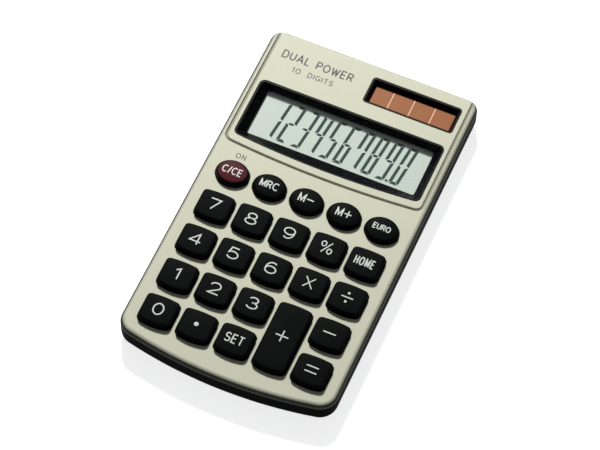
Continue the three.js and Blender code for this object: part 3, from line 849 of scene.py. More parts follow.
def back_cover_shell(settings):
    """The tray: inner wall, rim with its tongue, outer wall and rounded lower edge, with the label
    recess, foot recesses, screw holes and posts."""
    shell = Shell()
    edge, wall = settings.tray_edge, settings.tray_wall
    inner, tongue, break_edge = 0.4 * MM, 1 * MM, 0.12 * MM
    tongue_top = TRAY_RIM + 0.4 * MM
    inside = with_height(rounding(inner, 4), TRAY_FLOOR, 1)[::-1] + [wall, 0]
    below = with_height(rounding(edge, 14), UNDERSIDE_Z, 1)
    section = np.vstack([
        [wall + inner + MARGIN, TRAY_FLOOR], inside,
        [wall, tongue_top], [tongue, tongue_top], [tongue, TRAY_RIM], [break_edge, TRAY_RIM],
        [0, TRAY_RIM - break_edge], below, [edge + MARGIN, UNDERSIDE_Z],
    ])
    body = carried(case_outline(), section)
    shell.strip(body)
    floor_loops, base_loops = [body[0]], [body[-1]]
    chamfer = 0.1 * MM
    for node in nodes_like("case_screw"):
        hole, post = COUNTERBORE_RADIUS - SHANK_HOLE_RADIUS, COUNTERBORE_RADIUS - POST_RADIUS
        rows = [(-chamfer, UNDERSIDE_Z), (0, UNDERSIDE_Z + chamfer), (0, COUNTERBORE_TOP),
                (hole, COUNTERBORE_TOP), (hole, POST_TOP), (post, POST_TOP), (post, TRAY_FLOOR)]
        bore = carried(circle(middle(node)[:2], COUNTERBORE_RADIUS, 40), rows)
        shell.strip(bore)
        base_loops.append(bore[0])
        floor_loops.append(bore[-1])
    for node in nodes_like("foot_"):
        radius, top = FOOT_RADIUS + 0.15 * MM, UNDERSIDE_Z + FOOT_RECESS
        rows = [(-chamfer, UNDERSIDE_Z), (0, UNDERSIDE_Z + chamfer), (0, top), (radius, top)]
        recess = carried(circle(middle(node)[:2], radius, 56), rows)
        shell.strip(recess)
        base_loops.append(recess[0])
    top = UNDERSIDE_Z + LABEL_DEPTH
    rows = [(-chamfer, UNDERSIDE_Z), (0, UNDERSIDE_Z + chamfer), (0, top)]
    recess = carried(frame_outline(**LABEL), rows)
    shell.strip(recess)
    shell.flat([recess[-1]], up=False)
    base_loops.append(recess[0])
    shell.flat(floor_loops, up=True)
    shell.flat(base_loops, up=False)
    return shell


def label_shell():
    """Blank foil label, a thin plate with a rounded edge that lies in the recess."""
    shell = Shell()
    inset, thick, soft = 0.25 * MM, 0.15 * MM, 0.05 * MM
    top = UNDERSIDE_Z + LABEL_DEPTH - 0.02 * MM
    low = top - thick
    rows = [(inset, top), (inset, low + soft), (inset + soft, low)]
    shell.slab(carried(frame_outline(**LABEL), rows))
    return shell


# ---- Surrounds ----

def bezel_shell(opening, glass, node, flange):
    """Surround: a level rim just under the face, a funnel down to the glass, and a flange under the plate."""
    outer, inner = frame_outline(**opening), frame_outline(**glass)
    low, high = span(node)
    bottom, rim = low[2], high[2]
    gap, width, soft = 0.12 * MM, 0.5 * MM, 0.12 * MM
    flange_top = PLATE_UNDERSIDE - 0.05 * MM
    mouth = gap + width
    edge = with_height(rounding(soft, 4), rim)[::-1] + [gap, 0]
    outside = carried(outer, np.vstack([
        [mouth - soft, rim], edge, [gap, flange_top], [-flange, flange_top], [-flange, bottom],
    ]))
    throat = carried(inner, [(0, bottom), (0, bottom + 0.12 * MM)])
    lip = carried(outer, [(mouth, rim - soft), (mouth - 0.3 * soft, rim - 0.3 * soft)])
    slope = drawn_in(throat[-1], lip[0], (0.25, 0.5, 0.75))
    shell = Shell()
    shell.strip(np.concatenate([outside, throat, slope, lip]), looped=True)
    return shell


# ---- Display ----

SHOWN = "123456789.0"
LIT = {
    "0": "abcdef", "1": "bc", "2": "abdeg", "3": "abcdg", "4": "bcfg", "5": "acdfg", "6": "acdefg",
    "7": "abcf", "8": "abcdefg", "9": "abcdfg",
}


def segments(settings):
    """The seven segments of an upright digit, as loops that run counter-clockwise round each one."""
    w, h = settings.digit_width, settings.digit_height
    t, k = settings.digit_stroke, settings.digit_gap / 2
    m, g = h / 2, settings.digit_stroke * 0.42
    cut = t * 0.75
    side = np.array([(w, m + k), (w, h - 1.6 * k), (w - t, h - cut - 1.6 * k), (w - t, m + t * 0.5 + k),
                     (w - t * 0.3, m + k)])
    bar = np.array([(1.6 * k, h), (cut + 1.6 * k, h - t), (w - cut - 1.6 * k, h - t), (w - 1.6 * k, h)])
    tip = 0.3 * t + 1.5 * k
    mid = np.array([(tip, m), (t + k, m - g), (w - t - k, m - g), (w - tip, m),
                    (w - t - k, m + g), (t + k, m + g)])
    left, down = np.array([-1, 1]), np.array([1, -1])
    shift_x, shift_y = np.array([w, 0]), np.array([0, h])
    return {
        "a": bar, "d": (bar * down + shift_y)[::-1], "g": mid,
        "b": side, "c": (side * down + shift_y)[::-1],
        "f": (side * left + shift_x)[::-1], "e": (side * left * down + shift_x + shift_y),
    }


def digits_shell(settings):
    """Every lit segment as a thin plate on the display glass, leaning to the right by the slant."""
    top = span("lcd_panel")[1][2]
    low, high = top + 0.002 * MM, top + 0.02 * MM
    shapes = segments(settings)
    lean = np.array([[1, 0], [math.tan(settings.slant), 1]])
    shell = Shell()
    place = -1
    for letter in SHOWN:
        if letter == ".":
            corner = (settings.digit_left + place * settings.digit_pitch + settings.digit_width + 0.42 * MM,
                      settings.digit_foot + 0.1 * MM)
            size = 0.85 * MM
            plate(shell, np.array([(0, 0), (size, 0), (size, size), (0, size)]) + corner, low, high)
            continue
        place += 1
        corner = (settings.digit_left + place * settings.digit_pitch, settings.digit_foot)
        for name in LIT[letter]:
            plate(shell, shapes[name] @ lean + corner, low, high)
    return shell


def solar_plate_shell():
    """The cell's glass plate with a softened edge."""
    low, high = span("solar_cell")
    outline = frame_outline(low[0], high[0], high[1], low[1], 0, 0.25 * MM)
    soft = 0.1 * MM
    edge = rounding(soft, 3)
    rows = np.vstack([with_height(edge, high[2])[::-1], with_height(edge, low[2], 1)])
    shell = Shell()
    shell.slab(carried(outline, rows))
    return shell


def solar_contacts_shell():
    """Fine contact lines between the four cells, half sunk into the plate."""
    low, high = span("solar_cell")
    shell = Shell()
    half, rise = CONTACT_HALF, 0.02 * MM
    centre = (SOLAR_GLASS["left"] + SOLAR_GLASS["right"]) / 2 - CONTACT_SHIFT
    foot, head = low[1] + half, high[1] - half
    for step in (-1, 0, 1):
        x = centre + step * CELL_PITCH
        loop = np.array([(x - half, foot), (x + half, foot), (x + half, head), (x - half, head)])
        plate(shell, loop, high[2] - rise, high[2] + rise)
    return shell


# ---- Keys ----

def key_surface(key, settings):
    """Height of a key's top over any point: it falls away from the middle with the square of the
    distance, across and along, and a tall key's top stays level along most of its length."""
    centre, _, width, height = key_shape(key)
    crown = span(key)[1][2] - settings.print_height
    fall = settings.oval_dome if key in OVAL_KEYS else settings.dome
    power = 8 if key == TALL_KEY else 2

    def surface(x, y):
        across = np.abs((x - centre[0]) / (width / 2)) ** 2
        along = np.abs((y - centre[1]) / (height / 2)) ** power
        return crown - fall * 0.5 * (across + along)

    return surface


def key_shell(key, settings):
    """A key from its crown outwards: rings that spread from the middle line to the rounded edge, the
    wall, the flange that keeps it in its hole, and the stem down to its contact."""
    centre, outline, width, height = key_shape(key)
    surface = key_surface(key, settings)
    reach = max(height - width, 0) / 2
    edge = rounding(settings.edge, 8)[::-1]
    bend_rings = carried(outline, edge)
    bend_rings[:, :, 2] = surface(bend_rings[:, :, 0], bend_rings[:, :, 1]) - edge[:, 1, None]
    ridge = bend_rings[0].copy()
    ridge[:, 0] = centre[0]
    ridge[:, 1] = np.clip(ridge[:, 1], centre[1] - reach, centre[1] + reach)
    crown = drawn_in(ridge, bend_rings[0], np.linspace(0, 1, 8)[:-1])
    crown[:, :, 2] = surface(crown[:, :, 0], crown[:, :, 1])
    flange, flange_low, soft = KEY_FLANGE_REACH, KEY_FLANGE_TOP - KEY_FLANGE_THICKNESS, 0.1 * MM
    skirt = carried(outline, [
        (0, KEY_FLANGE_TOP), (-flange + soft, KEY_FLANGE_TOP), (-flange, KEY_FLANGE_TOP - soft),
        (-flange, flange_low),
    ])
    stem_height = height - 2 * KEY_GROWTH - STEM_SHORTER
    stem_outline = key_outline(centre, STEM_WIDTH, stem_height, STEM_CORNER, 0, 0)
    if key in OVAL_KEYS:
        stem_outline = bend(centre, (STEM_WIDTH / 2, stem_height / 2), 0, 2 * math.pi, len(outline))
    bottom = span(key)[0][2]
    stem = carried(stem_outline, [(0, flange_low), (0, bottom + soft), (soft, bottom)])
    end = drawn_in(stem[-1], np.array([*centre, bottom]), (1,))
    shell = Shell()
    shell.strip(np.concatenate([crown, bend_rings, skirt, stem, end]))
    return shell


# ---- Print ----
#
# A letter is its width and its strokes, on a cap height of 1. A stroke is a list of runs: a list of
# corner points, or an elliptical arc (x, y, across, up, start, stop) with its angles in degrees.

BOWL = [[(0, 0), (0, 1), (0.3, 1)], (0.3, 0.74, 0.27, 0.26, 80, -90), [(0, 0.48)]]
GLYPHS = {
    "0": (0.78, [[(0.39, 0.5, 0.39, 0.5, 90, 450)]]),
    "1": (0.34, [[[(0, 0.8), (0.28, 1), (0.28, 0)]]]),
    "2": (0.78, [[(0.39, 0.69, 0.36, 0.31, 170, -38), [(0, 0), (0.78, 0)]]]),
    "3": (0.78, [[(0.38, 0.755, 0.31, 0.245, 160, -90), (0.38, 0.265, 0.38, 0.265, 88, -160)]]),
    "4": (0.82, [[[(0.6, 0), (0.6, 1), (0, 0.28), (0.82, 0.28)]]]),
    "5": (0.78, [[[(0.68, 1), (0.16, 1), (0.06, 0.5)], (0.38, 0.32, 0.39, 0.32, 138, -155)]]),
    "6": (0.78, [[(0.42, 0.42, 0.42, 0.58, 55, 180)], [(0.39, 0.315, 0.385, 0.315, 180, 540)]]),
    "7": (0.76, [[[(0, 1), (0.76, 1), (0.26, 0)]]]),
    "8": (0.78, [[(0.39, 0.76, 0.31, 0.24, 90, 450)], [(0.39, 0.265, 0.385, 0.265, 90, 450)]]),
    "9": (0.78, [[(0.36, 0.58, 0.42, 0.58, 235, 360)], [(0.39, 0.685, 0.385, 0.315, 0, 360)]]),
    "A": (0.72, [[[(0, 0), (0.36, 1), (0.72, 0)]], [[(0.12, 0.32), (0.6, 0.32)]]]),
    "C": (0.68, [[(0.4, 0.5, 0.4, 0.5, 48, 312)]]),
    "D": (0.66, [[[(0.3, 0), (0, 0), (0, 1), (0.3, 1)], (0.3, 0.5, 0.36, 0.5, 80, -90)]]),
    "E": (0.54, [[[(0.54, 1), (0, 1), (0, 0), (0.54, 0)]], [[(0, 0.52), (0.48, 0.52)]]]),
    "G": (0.74, [[(0.4, 0.5, 0.4, 0.5, 48, 340), [(0.76, 0.44), (0.46, 0.44)]]]),
    "H": (0.6, [[[(0, 0), (0, 1)]], [[(0.6, 0), (0.6, 1)]], [[(0, 0.52), (0.6, 0.52)]]]),
    "I": (0, [[[(0, 0), (0, 1)]]]),
    "L": (0.5, [[[(0, 1), (0, 0), (0.5, 0)]]]),
    "M": (0.74, [[[(0, 0), (0, 1), (0.37, 0.12), (0.74, 1), (0.74, 0)]]]),
    "N": (0.62, [[[(0, 0), (0, 1), (0.62, 0), (0.62, 1)]]]),
    "O": (0.76, [[(0.38, 0.5, 0.38, 0.5, 90, 450)]]),
    "P": (0.56, [BOWL]),
    "R": (0.6, [BOWL, [[(0.32, 0.48), (0.6, 0)]]]),
    "S": (0.6, [[(0.3, 0.745, 0.28, 0.255, 25, 235), (0.3, 0.265, 0.3, 0.265, 60, -155)]]),
    "T": (0.6, [[[(0, 1), (0.6, 1)]], [[(0.3, 1), (0.3, 0)]]]),
    "U": (0.62, [[[(0, 1), (0, 0.34)], (0.31, 0.34, 0.31, 0.34, 190, 350), [(0.62, 0.34), (0.62, 1)]]]),
    "W": (0.9, [[[(0, 1), (0.23, 0), (0.45, 0.85), (0.67, 0), (0.9, 1)]]]),
    "X": (0.74, [[[(0, 0), (0.74, 1)]], [[(0, 1), (0.74, 0)]]]),
    "/": (0.3, [[[(0, -0.05), (0.3, 1.05)]]]),
    "%": (1, [[[(0.2, 0), (0.8, 1)]], [(0.2, 0.76, 0.17, 0.22, 90, 450)],
              [(0.8, 0.24, 0.17, 0.22, 90, 450)]]),
    "+": (0.9, [[[(0, 0.5), (0.9, 0.5)]], [[(0.45, 0.05), (0.45, 0.95)]]]),
    "-": (0.9, [[[(0, 0.5), (0.9, 0.5)]]]),
    "=": (0.9, [[[(0, 0.24), (0.9, 0.24)]], [[(0, 0.76), (0.9, 0.76)]]]),
    "divide": (0.9, [[[(0, 0.5), (0.9, 0.5)]], [(0.45, 0.92, 0.05, 0.058, 0, 360)],
                     [(0.45, 0.08, 0.05, 0.058, 0, 360)]]),
    "point": (0.3, [[(0.15, 0.5, 0.1, 0.1, 0, 360)]]),
}

# Print of each key: its letters, its cap height and letter width as shares of a digit's, and its stroke.
LEGENDS = {
    "key_0": ("0", 1.0, 1.06, 1.0),
    "key_on_clear": ("C/CE", 0.65, 0.86, 0.95),
    "key_memory_recall": ("MRC", 0.67, 0.92, 0.95),
    "key_memory_minus": (("M", "-"), 0.76, 0.9, 1.0),
    "key_memory_plus": (("M", "+"), 0.76, 0.9, 1.0),
    "key_currency": ("EURO", 0.51, 0.9, 0.82),
    "key_home": ("HOME", 0.74, 0.56, 0.95),
    "key_set": ("SET", 0.77, 0.84, 0.92),
    "key_percent": ("%", 1.05, 1.0, 0.85),
    "key_multiply": ("X", 0.97, 1.08, 0.85),
    "key_divide": (("divide",), 0.96, 1.16, 0.95),
    "key_minus": ("-", 1.0, 1.18, 1.0),
    "key_plus": ("+", 1.12, 1.06, 0.95),
    "key_equals": ("=", 0.96, 1.18, 0.95),
    "key_point": (("point",), 1.0, 1.0, 1.6),
}

LETTER_SPACING = 0.26

# Words on the face: the letters, their middle, cap height, width's share, stroke and spacing. Lengths are
# in millimetres.
FACE_WORDS = (
    ("ON", -25.1, 12.0, 1.65, 1.05, 0.3, 0.4),
    ("DUAL", -24.3, 52.6, 2.7, 0.95, 0.5, 0.32),
    ("POWER", -11.2, 52.6, 2.7, 0.95, 0.5, 0.32),
    ("10", -22.5, 48.1, 1.75, 1.0, 0.32, 0.42),
    ("DIGITS", -14.2, 48.1, 1.75, 1.0, 0.32, 0.42),
)


def arc_points(run):
    """Points along an elliptical arc, about 12 degrees apart."""
    x, y, across, up, start, stop = run
    steps = max(6, round(abs(stop - start) / 12))
    angle = np.radians(np.linspace(start, stop, steps + 1))
    return np.column_stack([x + across * np.cos(angle), y + up * np.sin(angle)])


def stroke_path(runs):
    """All of a stroke's runs as one path of points, on a cap height of 1."""
    parts = [arc_points(run) if isinstance(run, tuple) else np.array(run, float) for run in runs]
    return np.concatenate(parts)


def spaced(path, longest):
    """The path with extra points, so that no stretch is longer than longest."""
    gaps = np.linalg.norm(np.diff(path, axis=0), axis=1)
    counts = np.maximum(1, np.ceil(gaps / longest).astype(int))
    starts = np.repeat(np.arange(len(gaps)), counts)
    first = np.cumsum(counts) - counts
    part = (np.arange(counts.sum()) - np.repeat(first, counts)) / np.repeat(counts, counts)
    between = path[starts] + part[:, None] * (path[starts + 1] - path[starts])
    return np.vstack([between, path[-1:]])


def ribbon(shell, path, half, surface, low, high):
    """A flat line of print along a path: a low section with bevelled edges, mitred at the corners,
    that lies on the surface. A path that ends where it starts becomes a closed ring."""
    looped = np.allclose(path[0], path[-1])
    points = path[:-1] if looped else path
    along = np.roll(points, -1, 0) - points
    along /= np.linalg.norm(along, axis=1, keepdims=True)
    before = np.roll(along, 1, 0)
    if not looped:
        along[-1] = along[-2]
        before[0] = along[0]
    right = np.column_stack([along[:, 1], -along[:, 0]])
    mitre = right + np.column_stack([before[:, 1], -before[:, 0]])
    mitre /= np.linalg.norm(mitre, axis=1, keepdims=True)
    stretch = 1 / np.clip((mitre * right).sum(1), 0.45, 1)
    bevel = min(0.03 * MM, half * 0.3)
    section = np.array([(-half, low), (-half, high - 0.4 * (high - low)), (-half + bevel, high),
                        (half - bevel, high), (half, high - 0.4 * (high - low)), (half, low)])
    flat = points + section[:, 0, None, None] * (mitre * stretch[:, None])
    height = surface(flat[:, :, 0], flat[:, :, 1]) + section[:, 1, None]
    grid = np.concatenate([flat, height[:, :, None]], axis=2)
    shell.strip(grid, looped=True, open_ends=not looped)
    if not looped:
        shell.ends(grid)


def written(shell, letters, centre, cap, squeeze, stroke, surface, rise, spacing):
    """Writes letters centred on a point: cap is their height, squeeze their width's share, and spacing
    the gap between two letters as a share of the cap height."""
    widths = [GLYPHS[letter][0] * squeeze * cap for letter in letters]
    gap = spacing * cap
    x = centre[0] - (sum(widths) + gap * (len(letters) - 1)) / 2
    for letter, width in zip(letters, widths):
        for runs in GLYPHS[letter][1]:
            path = stroke_path(runs) * [squeeze * cap, cap] + [x, centre[1] - cap / 2]
            ribbon(shell, spaced(path, 0.4 * MM), stroke / 2, surface, -0.03 * MM, rise)
        x += width + gap


def legend_shell(key, settings):
    """The print on one key, which lies on its domed top."""
    letters, size, squeeze, weight = LEGENDS.get(key, (key[-1], 1.0, 1.16, 1.0))
    centre = middle(key)[:2] + [-settings.shift, settings.lift]
    cap = settings.digit_size * size - settings.stroke * weight
    shell = Shell()
    written(shell, letters, centre, cap, squeeze, settings.stroke * weight, key_surface(key, settings),
            settings.print_height, LETTER_SPACING)
    return shell


# ---- Feet and screws ----

def foot_shell(node):
    """Rubber foot: a flat disc with a rounded lower edge and a shallow ring pressed into its face."""
    low, high = span(node)
    centre, radius = middle(node)[:2], FOOT_RADIUS
    soft = rounding(0.3 * MM, 5)
    lower = np.column_stack([radius - soft[:, 0], low[2] + soft[:, 1]])
    ring = [(r * MM, low[2] + dip * MM) for r, dip in ((2.9, 0), (2.8, 0.08), (2.5, 0.08), (2.4, 0))]
    shell = Shell()
    turned(shell, centre, np.vstack([
        [0, high[2]], [radius - 0.1 * MM, high[2]], [radius, high[2] - 0.1 * MM], lower, ring, [0, low[2]],
    ]))
    return shell


def cross_radius(angle, reach, half):
    """Distance from the middle to the edge of a cross with arms of that reach and half width."""
    across, up = np.abs(np.cos(angle)) + 1e-9, np.abs(np.sin(angle)) + 1e-9
    return np.maximum(np.minimum(reach / across, half / up), np.minimum(reach / up, half / across))


def screw_shell(node, head_height, shank, thread):
    """Screw that points up: threaded shank, round head with a softened edge, and a tapered cross recess."""
    low, high = span(node)
    centre = middle(node)[:2]
    head = (high[0] - low[0]) / 2
    steps = 64
    angle = 2 * math.pi * np.arange(steps) / steps
    ring = np.column_stack([np.cos(angle), np.sin(angle)])

    def level(radius, z):
        radius = np.broadcast_to(radius, steps)
        return np.column_stack([centre + radius[:, None] * ring, np.full(steps, z)])

    shoulder = low[2] + head_height
    taper = high[2] - 2 * shank
    pitch = 0.7 * MM
    heights = np.arange(taper, shoulder, -pitch / 6)
    waves = [np.cos(2 * math.pi * z / pitch - angle) for z in heights]
    helix = [level(shank + thread * (0.5 + 0.5 * wave), z) for wave, z in zip(waves, heights)]
    soft, reach, half = 0.18 * MM, head * 0.62, 0.2 * MM
    shrink = 0.7
    recess = low[2] + head_height * 0.55
    rows = [
        level(0, high[2]), level(shank * 0.5, high[2] - 0.6 * shank), *helix, level(shank, shoulder),
        level(head - 0.05 * MM, shoulder), level(head, shoulder - 0.05 * MM), level(head, low[2] + soft),
        level(head - 0.3 * soft, low[2] + 0.3 * soft), level(head - soft, low[2]),
        level(cross_radius(angle, reach, half), low[2]),
        level(cross_radius(angle, reach * shrink, half * shrink), recess), level(0, recess),
    ]
    shell = Shell()
    shell.strip(np.stack(rows))
    return shell


# ---- Operators ----

class CALCULATOR_OT_stage(bpy.types.Operator):
    """Make the camera, the floor and the lights"""

    bl_idname = "calculator.stage"
    bl_label = "Stage"

    def execute(self, context):
        settings = context.scene.calculator_stage
        self.camera(context, settings)
        self.floor(settings)
        self.lights(context, settings)
        return {"FINISHED"}

    def camera(self, context, settings):
        data = bpy.data.cameras.new("camera")
        data.lens = settings.lens
        data.sensor_width = SENSOR_WIDTH
        data.clip_start, data.clip_end = 0.01, 20
        made = placed("camera", data)
        round_z, rise = settings.azimuth, settings.elevation
        back = Vector((
            math.sin(round_z) * math.cos(rise), -math.cos(round_z) * math.cos(rise), math.sin(rise),
        ))
        level = Vector((0, 0, 1)).cross(back).normalized()
        above = back.cross(level)
        right = math.cos(settings.roll) * level + math.sin(settings.roll) * above
        up = back.cross(right)
        place = Vector(CAMERA_AIM) + back * settings.distance
        made.matrix_world = Matrix.Translation(place) @ Matrix((right, up, back)).transposed().to_4x4()
        context.scene.camera = made

    def floor(self, settings):
        size = FLOOR_REACH
        shell = Shell()
        corners = np.array([(-size, -size, 0), (size, -size, 0), (size, size, 0), (-size, size, 0)])
        shell.add(corners, np.arange(4)[None])
        made = shell.piece("floor", finish_named("floor_paper", floor_paper, settings.floor))

    def lights(self, context, settings):
        self.softbox(settings.key_power, *KEY_LIGHT)
        self.softbox(settings.fill_power, *TOP_LIGHT)
        world = bpy.data.worlds.new("room")
        world.use_nodes = True
        background = world.node_tree.nodes["Background"]
        background.inputs["Color"].default_value = ROOM_TINT
        background.inputs["Strength"].default_value = settings.surround
        context.scene.world = world
        context.scene.view_settings.view_transform = "Standard"

    def softbox(self, watts, name, place, size, tint):
        data = bpy.data.lights.new(name, "AREA")
        data.shape = "SQUARE"
        data.size = size
        data.energy = watts
        data.color = tint
        place = Vector(place)
        aimed = place.to_track_quat("Z", "Y").to_matrix().to_4x4()
        placed(name, data).matrix_world = Matrix.Translation(place) @ aimed


class CALCULATOR_OT_front_cover(bpy.types.Operator):
    """Make the painted front cover with its openings and the groove round its upper panel"""

    bl_idname = "calculator.front_cover"
    bl_label = "Front cover"

    def execute(self, context):
        settings = context.scene.calculator_case
        material = finish_named("silver_paint", silver_paint, settings.silver)
        made = front_cover_shell(settings).piece("front_cover_shell", material)
        cut_away(made, panel_groove_cutter(settings))
        settle(made, CASE_BODY, "silver_paint", "front_cover")
        return {"FINISHED"}


class CALCULATOR_OT_back_cover(bpy.types.Operator):
    """Make the black back cover and its blank label"""

    bl_idname = "calculator.back_cover"
    bl_label = "Back cover"

    def execute(self, context):
        settings = context.scene.calculator_case
        tint = settings.black
        material = finish_named("black_shell", moulded, tint, 0.5, 0.18 * MM, 0.004 * MM, 0.1, 0, 0.004)
        made = back_cover_shell(settings).piece("back_cover_shell", material)
        settle(made, CASE_BODY, "black_shell", "back_cover")
        foil = finish_named("label_foil", brushed_metal, settings.label, 0.45, (0.15, 1, 1))
        label = label_shell().piece("blank_label", foil)
        settle(label, CASE_BODY, "screw_steel")
        return {"FINISHED"}


class CALCULATOR_OT_surrounds(bpy.types.Operator):
    """Make the black surrounds of the display and the solar cell"""

    bl_idname = "calculator.surrounds"
    bl_label = "Surrounds"

    def execute(self, context):
        tint = context.scene.calculator_display.bezel
        material = finish_named("bezel_plastic", moulded, tint, 0.34, 0.15 * MM, 0.003 * MM, 0.1, 0, 0.06)
        for node, opening, glass, flange in (("display_bezel", DISPLAY, DISPLAY_GLASS, 0.7 * MM),
                                             ("solar_bezel", SOLAR, SOLAR_GLASS, 0.45 * MM)):
            made = bezel_shell(opening, glass, node, flange).piece(node + "_funnel", material)
            settle(made, CASE_BODY, "bezel_plastic", node)
        return {"FINISHED"}


class CALCULATOR_OT_display(bpy.types.Operator):
    """Finish the display's glass and window, and make its digits"""

    bl_idname = "calculator.display"
    bl_label = "Display"

    def execute(self, context):
        settings = context.scene.calculator_display
        dress("lcd_panel", finish_named("display_film", display_film, settings.glass))
        dress("display_window", finish_named("clear_window", clear_window, settings.window_alpha))
        tint = settings.segment
        ink = finish_named("display_ink", moulded, tint, 0.5, 0.1 * MM, 0.001 * MM, 0.08, 0, 0)
        settle(digits_shell(settings).piece("display_digits", ink), CASE_BODY, "display_glass")
        return {"FINISHED"}


class CALCULATOR_OT_solar_cell(bpy.types.Operator):
    """Make the solar cell's plate and contact lines"""

    bl_idname = "calculator.solar_cell"
    bl_label = "Solar cell"

    def execute(self, context):
        settings = context.scene.calculator_display
        film = finish_named("solar_film", solar_film, settings.solar)
        settle(solar_plate_shell().piece("solar_plate", film), CASE_BODY, "solar_glass", "solar_cell")
        line = finish_named("solar_contact", moulded, settings.contact, 0.4, 0.1 * MM, 0.001 * MM)
        settle(solar_contacts_shell().piece("solar_contacts", line), CASE_BODY, "solar_glass")
        return {"FINISHED"}


class CALCULATOR_OT_keys(bpy.types.Operator):
    """Make every key's cap, flange and stem"""

    bl_idname = "calculator.keys"
    bl_label = "Keys"

    def execute(self, context):
        settings = context.scene.calculator_keys
        tint = settings.rubber
        black = finish_named("key_rubber", moulded, tint, 0.45, 0.13 * MM, 0.003 * MM, 0.12, 0, 0.015)
        red = finish_named("red_key_rubber", red_key_rubber, tint, settings.red, middle(RED_KEY))
        for key in KEYS:
            material, slot = (red, "red_key_rubber") if key == RED_KEY else (black, "key_rubber")
            settle(key_shell(key, settings).piece(key + "_cap", material), key, slot, key)
        return {"FINISHED"}


class CALCULATOR_OT_legends(bpy.types.Operator):
    """Print the figures, signs and function names on the keys"""

    bl_idname = "calculator.legends"
    bl_label = "Key print"

    def execute(self, context):
        settings = context.scene.calculator_keys
        tint = settings.print_colour
        ink = finish_named("key_print", moulded, tint, 0.5, 0.12 * MM, 0.003 * MM, 0.04)
        for key in KEYS:
            made = legend_shell(key, settings).piece(key + "_print", ink)
            settle(made, key, "red_key_rubber" if key == RED_KEY else "key_rubber")
        return {"FINISHED"}


class CALCULATOR_OT_face_print(bpy.types.Operator):
    """Print the plain words on the front cover"""

    bl_idname = "calculator.face_print"
    bl_label = "Face print"

    def execute(self, context):
        settings = context.scene.calculator_keys
        tint = settings.face_print
        ink = finish_named("face_print", moulded, tint, 0.55, 0.12 * MM, 0.003 * MM, 0.05)
        shell = Shell()
        rise = settings.print_height * 0.6

        def face(x, y):
            return FACE_Z + 0 * x

        for letters, x, y, cap, squeeze, stroke, spacing in FACE_WORDS:
            place = (x * MM, y * MM)
            written(shell, letters, place, cap * MM, squeeze, stroke * MM, face, rise, spacing)
        settle(shell.piece("face_words", ink), CASE_BODY, "silver_paint")
        return {"FINISHED"}


class CALCULATOR_OT_feet(bpy.types.Operator):
    """Make the four rubber feet"""

    bl_idname = "calculator.feet"
    bl_label = "Feet"

    def execute(self, context):
        tint = (0.02, 0.02, 0.021)
        rubber = finish_named("foot_rubber", moulded, tint, 0.75, 0.25 * MM, 0.02 * MM, 0.15)
        for node in nodes_like("foot_"):
            settle(foot_shell(node).piece(node + "_pad", rubber), CASE_BODY, "foot_rubber", node)
        return {"FINISHED"}


class CALCULATOR_OT_screws(bpy.types.Operator):
    """Make the case screws and the board screws"""

    bl_idname = "calculator.screws"
    bl_label = "Screws"

    def execute(self, context):
        steel = finish_named("screw_steel", brushed_metal, (0.42, 0.43, 0.45), 0.35, (1, 1, 0.2))
        for kind, head_height, shank, thread in SCREWS:
            for node in nodes_like(kind):
                made = screw_shell(node, head_height, shank, thread).piece(node + "_threaded", steel)
                settle(made, CASE_BODY, "screw_steel", node)
        return {"FINISHED"}


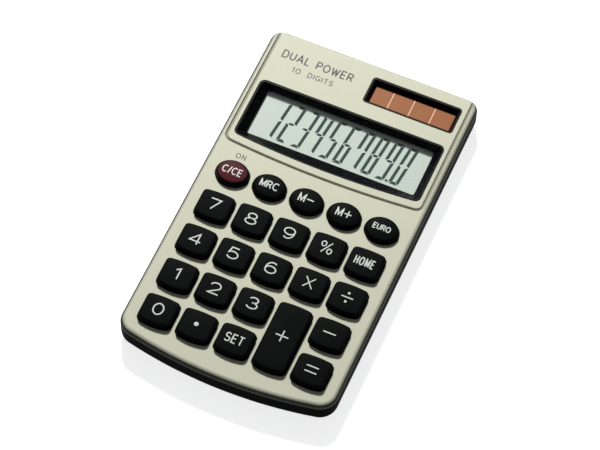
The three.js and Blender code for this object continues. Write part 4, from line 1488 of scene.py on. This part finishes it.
class CALCULATOR_OT_electronics(bpy.types.Operator):
    """Finish the board and the parts inside the case"""

    bl_idname = "calculator.electronics"
    bl_label = "Electronics"

    def execute(self, context):
        dress("circuit_board", finish_named("board_laminate", board_laminate))
        plain = (
            ("keypad_mat", "mat_rubber", (0.014, 0.015, 0.016), 0.7, 0.3 * MM, 0.02 * MM),
            ("zebra_strip", "strip_rubber", (0.42, 0.42, 0.38), 0.7, 0.2 * MM, 0.02 * MM),
            ("lcd_foam_pad", "pad_foam", (0.03, 0.03, 0.028), 0.95, 0.35 * MM, 0.1 * MM),
            ("chip_blob", "chip_resin", (0.006, 0.006, 0.007), 0.25, 0.8 * MM, 0.02 * MM),
            ("capacitor", "capacitor_sleeve", (0.015, 0.04, 0.15), 0.3, 0.5 * MM, 0.008 * MM),
            ("solar_wire_positive", "red_sleeve", (0.35, 0.015, 0.012), 0.45, 0.2 * MM, 0.01 * MM),
            ("solar_wire_negative", "black_sleeve", (0.01, 0.01, 0.011), 0.45, 0.2 * MM, 0.01 * MM),
        )
        for node, name, tint, roughness, grain, depth in plain:
            dress(node, finish_named(name, moulded, tint, roughness, grain, depth, 0.15))
        along = (0.2, 1, 1)
        steel = finish_named("cell_steel", brushed_metal, (0.6, 0.6, 0.61), 0.3, along)
        brass = finish_named("clip_brass", brushed_metal, (0.62, 0.42, 0.14), 0.32, along)
        dress("button_cell", steel)
        dress("battery_clip_negative", brass)
        dress("battery_clip_positive", brass)
        return {"FINISHED"}


def dress(node, material):
    """Gives a CAD node its material, in place of those that it came with."""
    mesh = frame["nodes"][node].data
    mesh.materials.clear()
    mesh.materials.append(material)


OPERATORS = (
    CALCULATOR_OT_stage,
    CALCULATOR_OT_front_cover,
    CALCULATOR_OT_back_cover,
    CALCULATOR_OT_surrounds,
    CALCULATOR_OT_display,
    CALCULATOR_OT_solar_cell,
    CALCULATOR_OT_keys,
    CALCULATOR_OT_legends,
    CALCULATOR_OT_face_print,
    CALCULATOR_OT_feet,
    CALCULATOR_OT_screws,
    CALCULATOR_OT_electronics,
)
SETTINGS = {
    "calculator_case": CaseSettings,
    "calculator_display": DisplaySettings,
    "calculator_keys": KeySettings,
    "calculator_stage": StageSettings,
}


class CALCULATOR_PT_pieces(bpy.types.Panel):
    """Lists the operators that build the calculator"""

    bl_label = "Pocket Calculator"
    bl_space_type = "VIEW_3D"
    bl_region_type = "UI"
    bl_category = "Calculator"

    def draw(self, context):
        for operator in OPERATORS:
            self.layout.operator(operator.bl_idname)
        for name, group in SETTINGS.items():
            box = self.layout.box()
            box.label(text=group.__doc__)
            for key in group.__annotations__:
                box.prop(getattr(context.scene, name), key)


def register():
    for made in (*SETTINGS.values(), *OPERATORS, CALCULATOR_PT_pieces):
        bpy.utils.register_class(made)
    for name, group in SETTINGS.items():
        setattr(bpy.types.Scene, name, PointerProperty(type=group))


def unregister():
    for name in SETTINGS:
        delattr(bpy.types.Scene, name)
    for made in reversed((*SETTINGS.values(), *OPERATORS, CALCULATOR_PT_pieces)):
        bpy.utils.unregister_class(made)


def main():
    """Builds every piece in order."""
    register()
    for operator in OPERATORS:
        getattr(bpy.ops.calculator, operator.bl_idname.split(".")[1])()


if __name__ == "__main__":
    main()
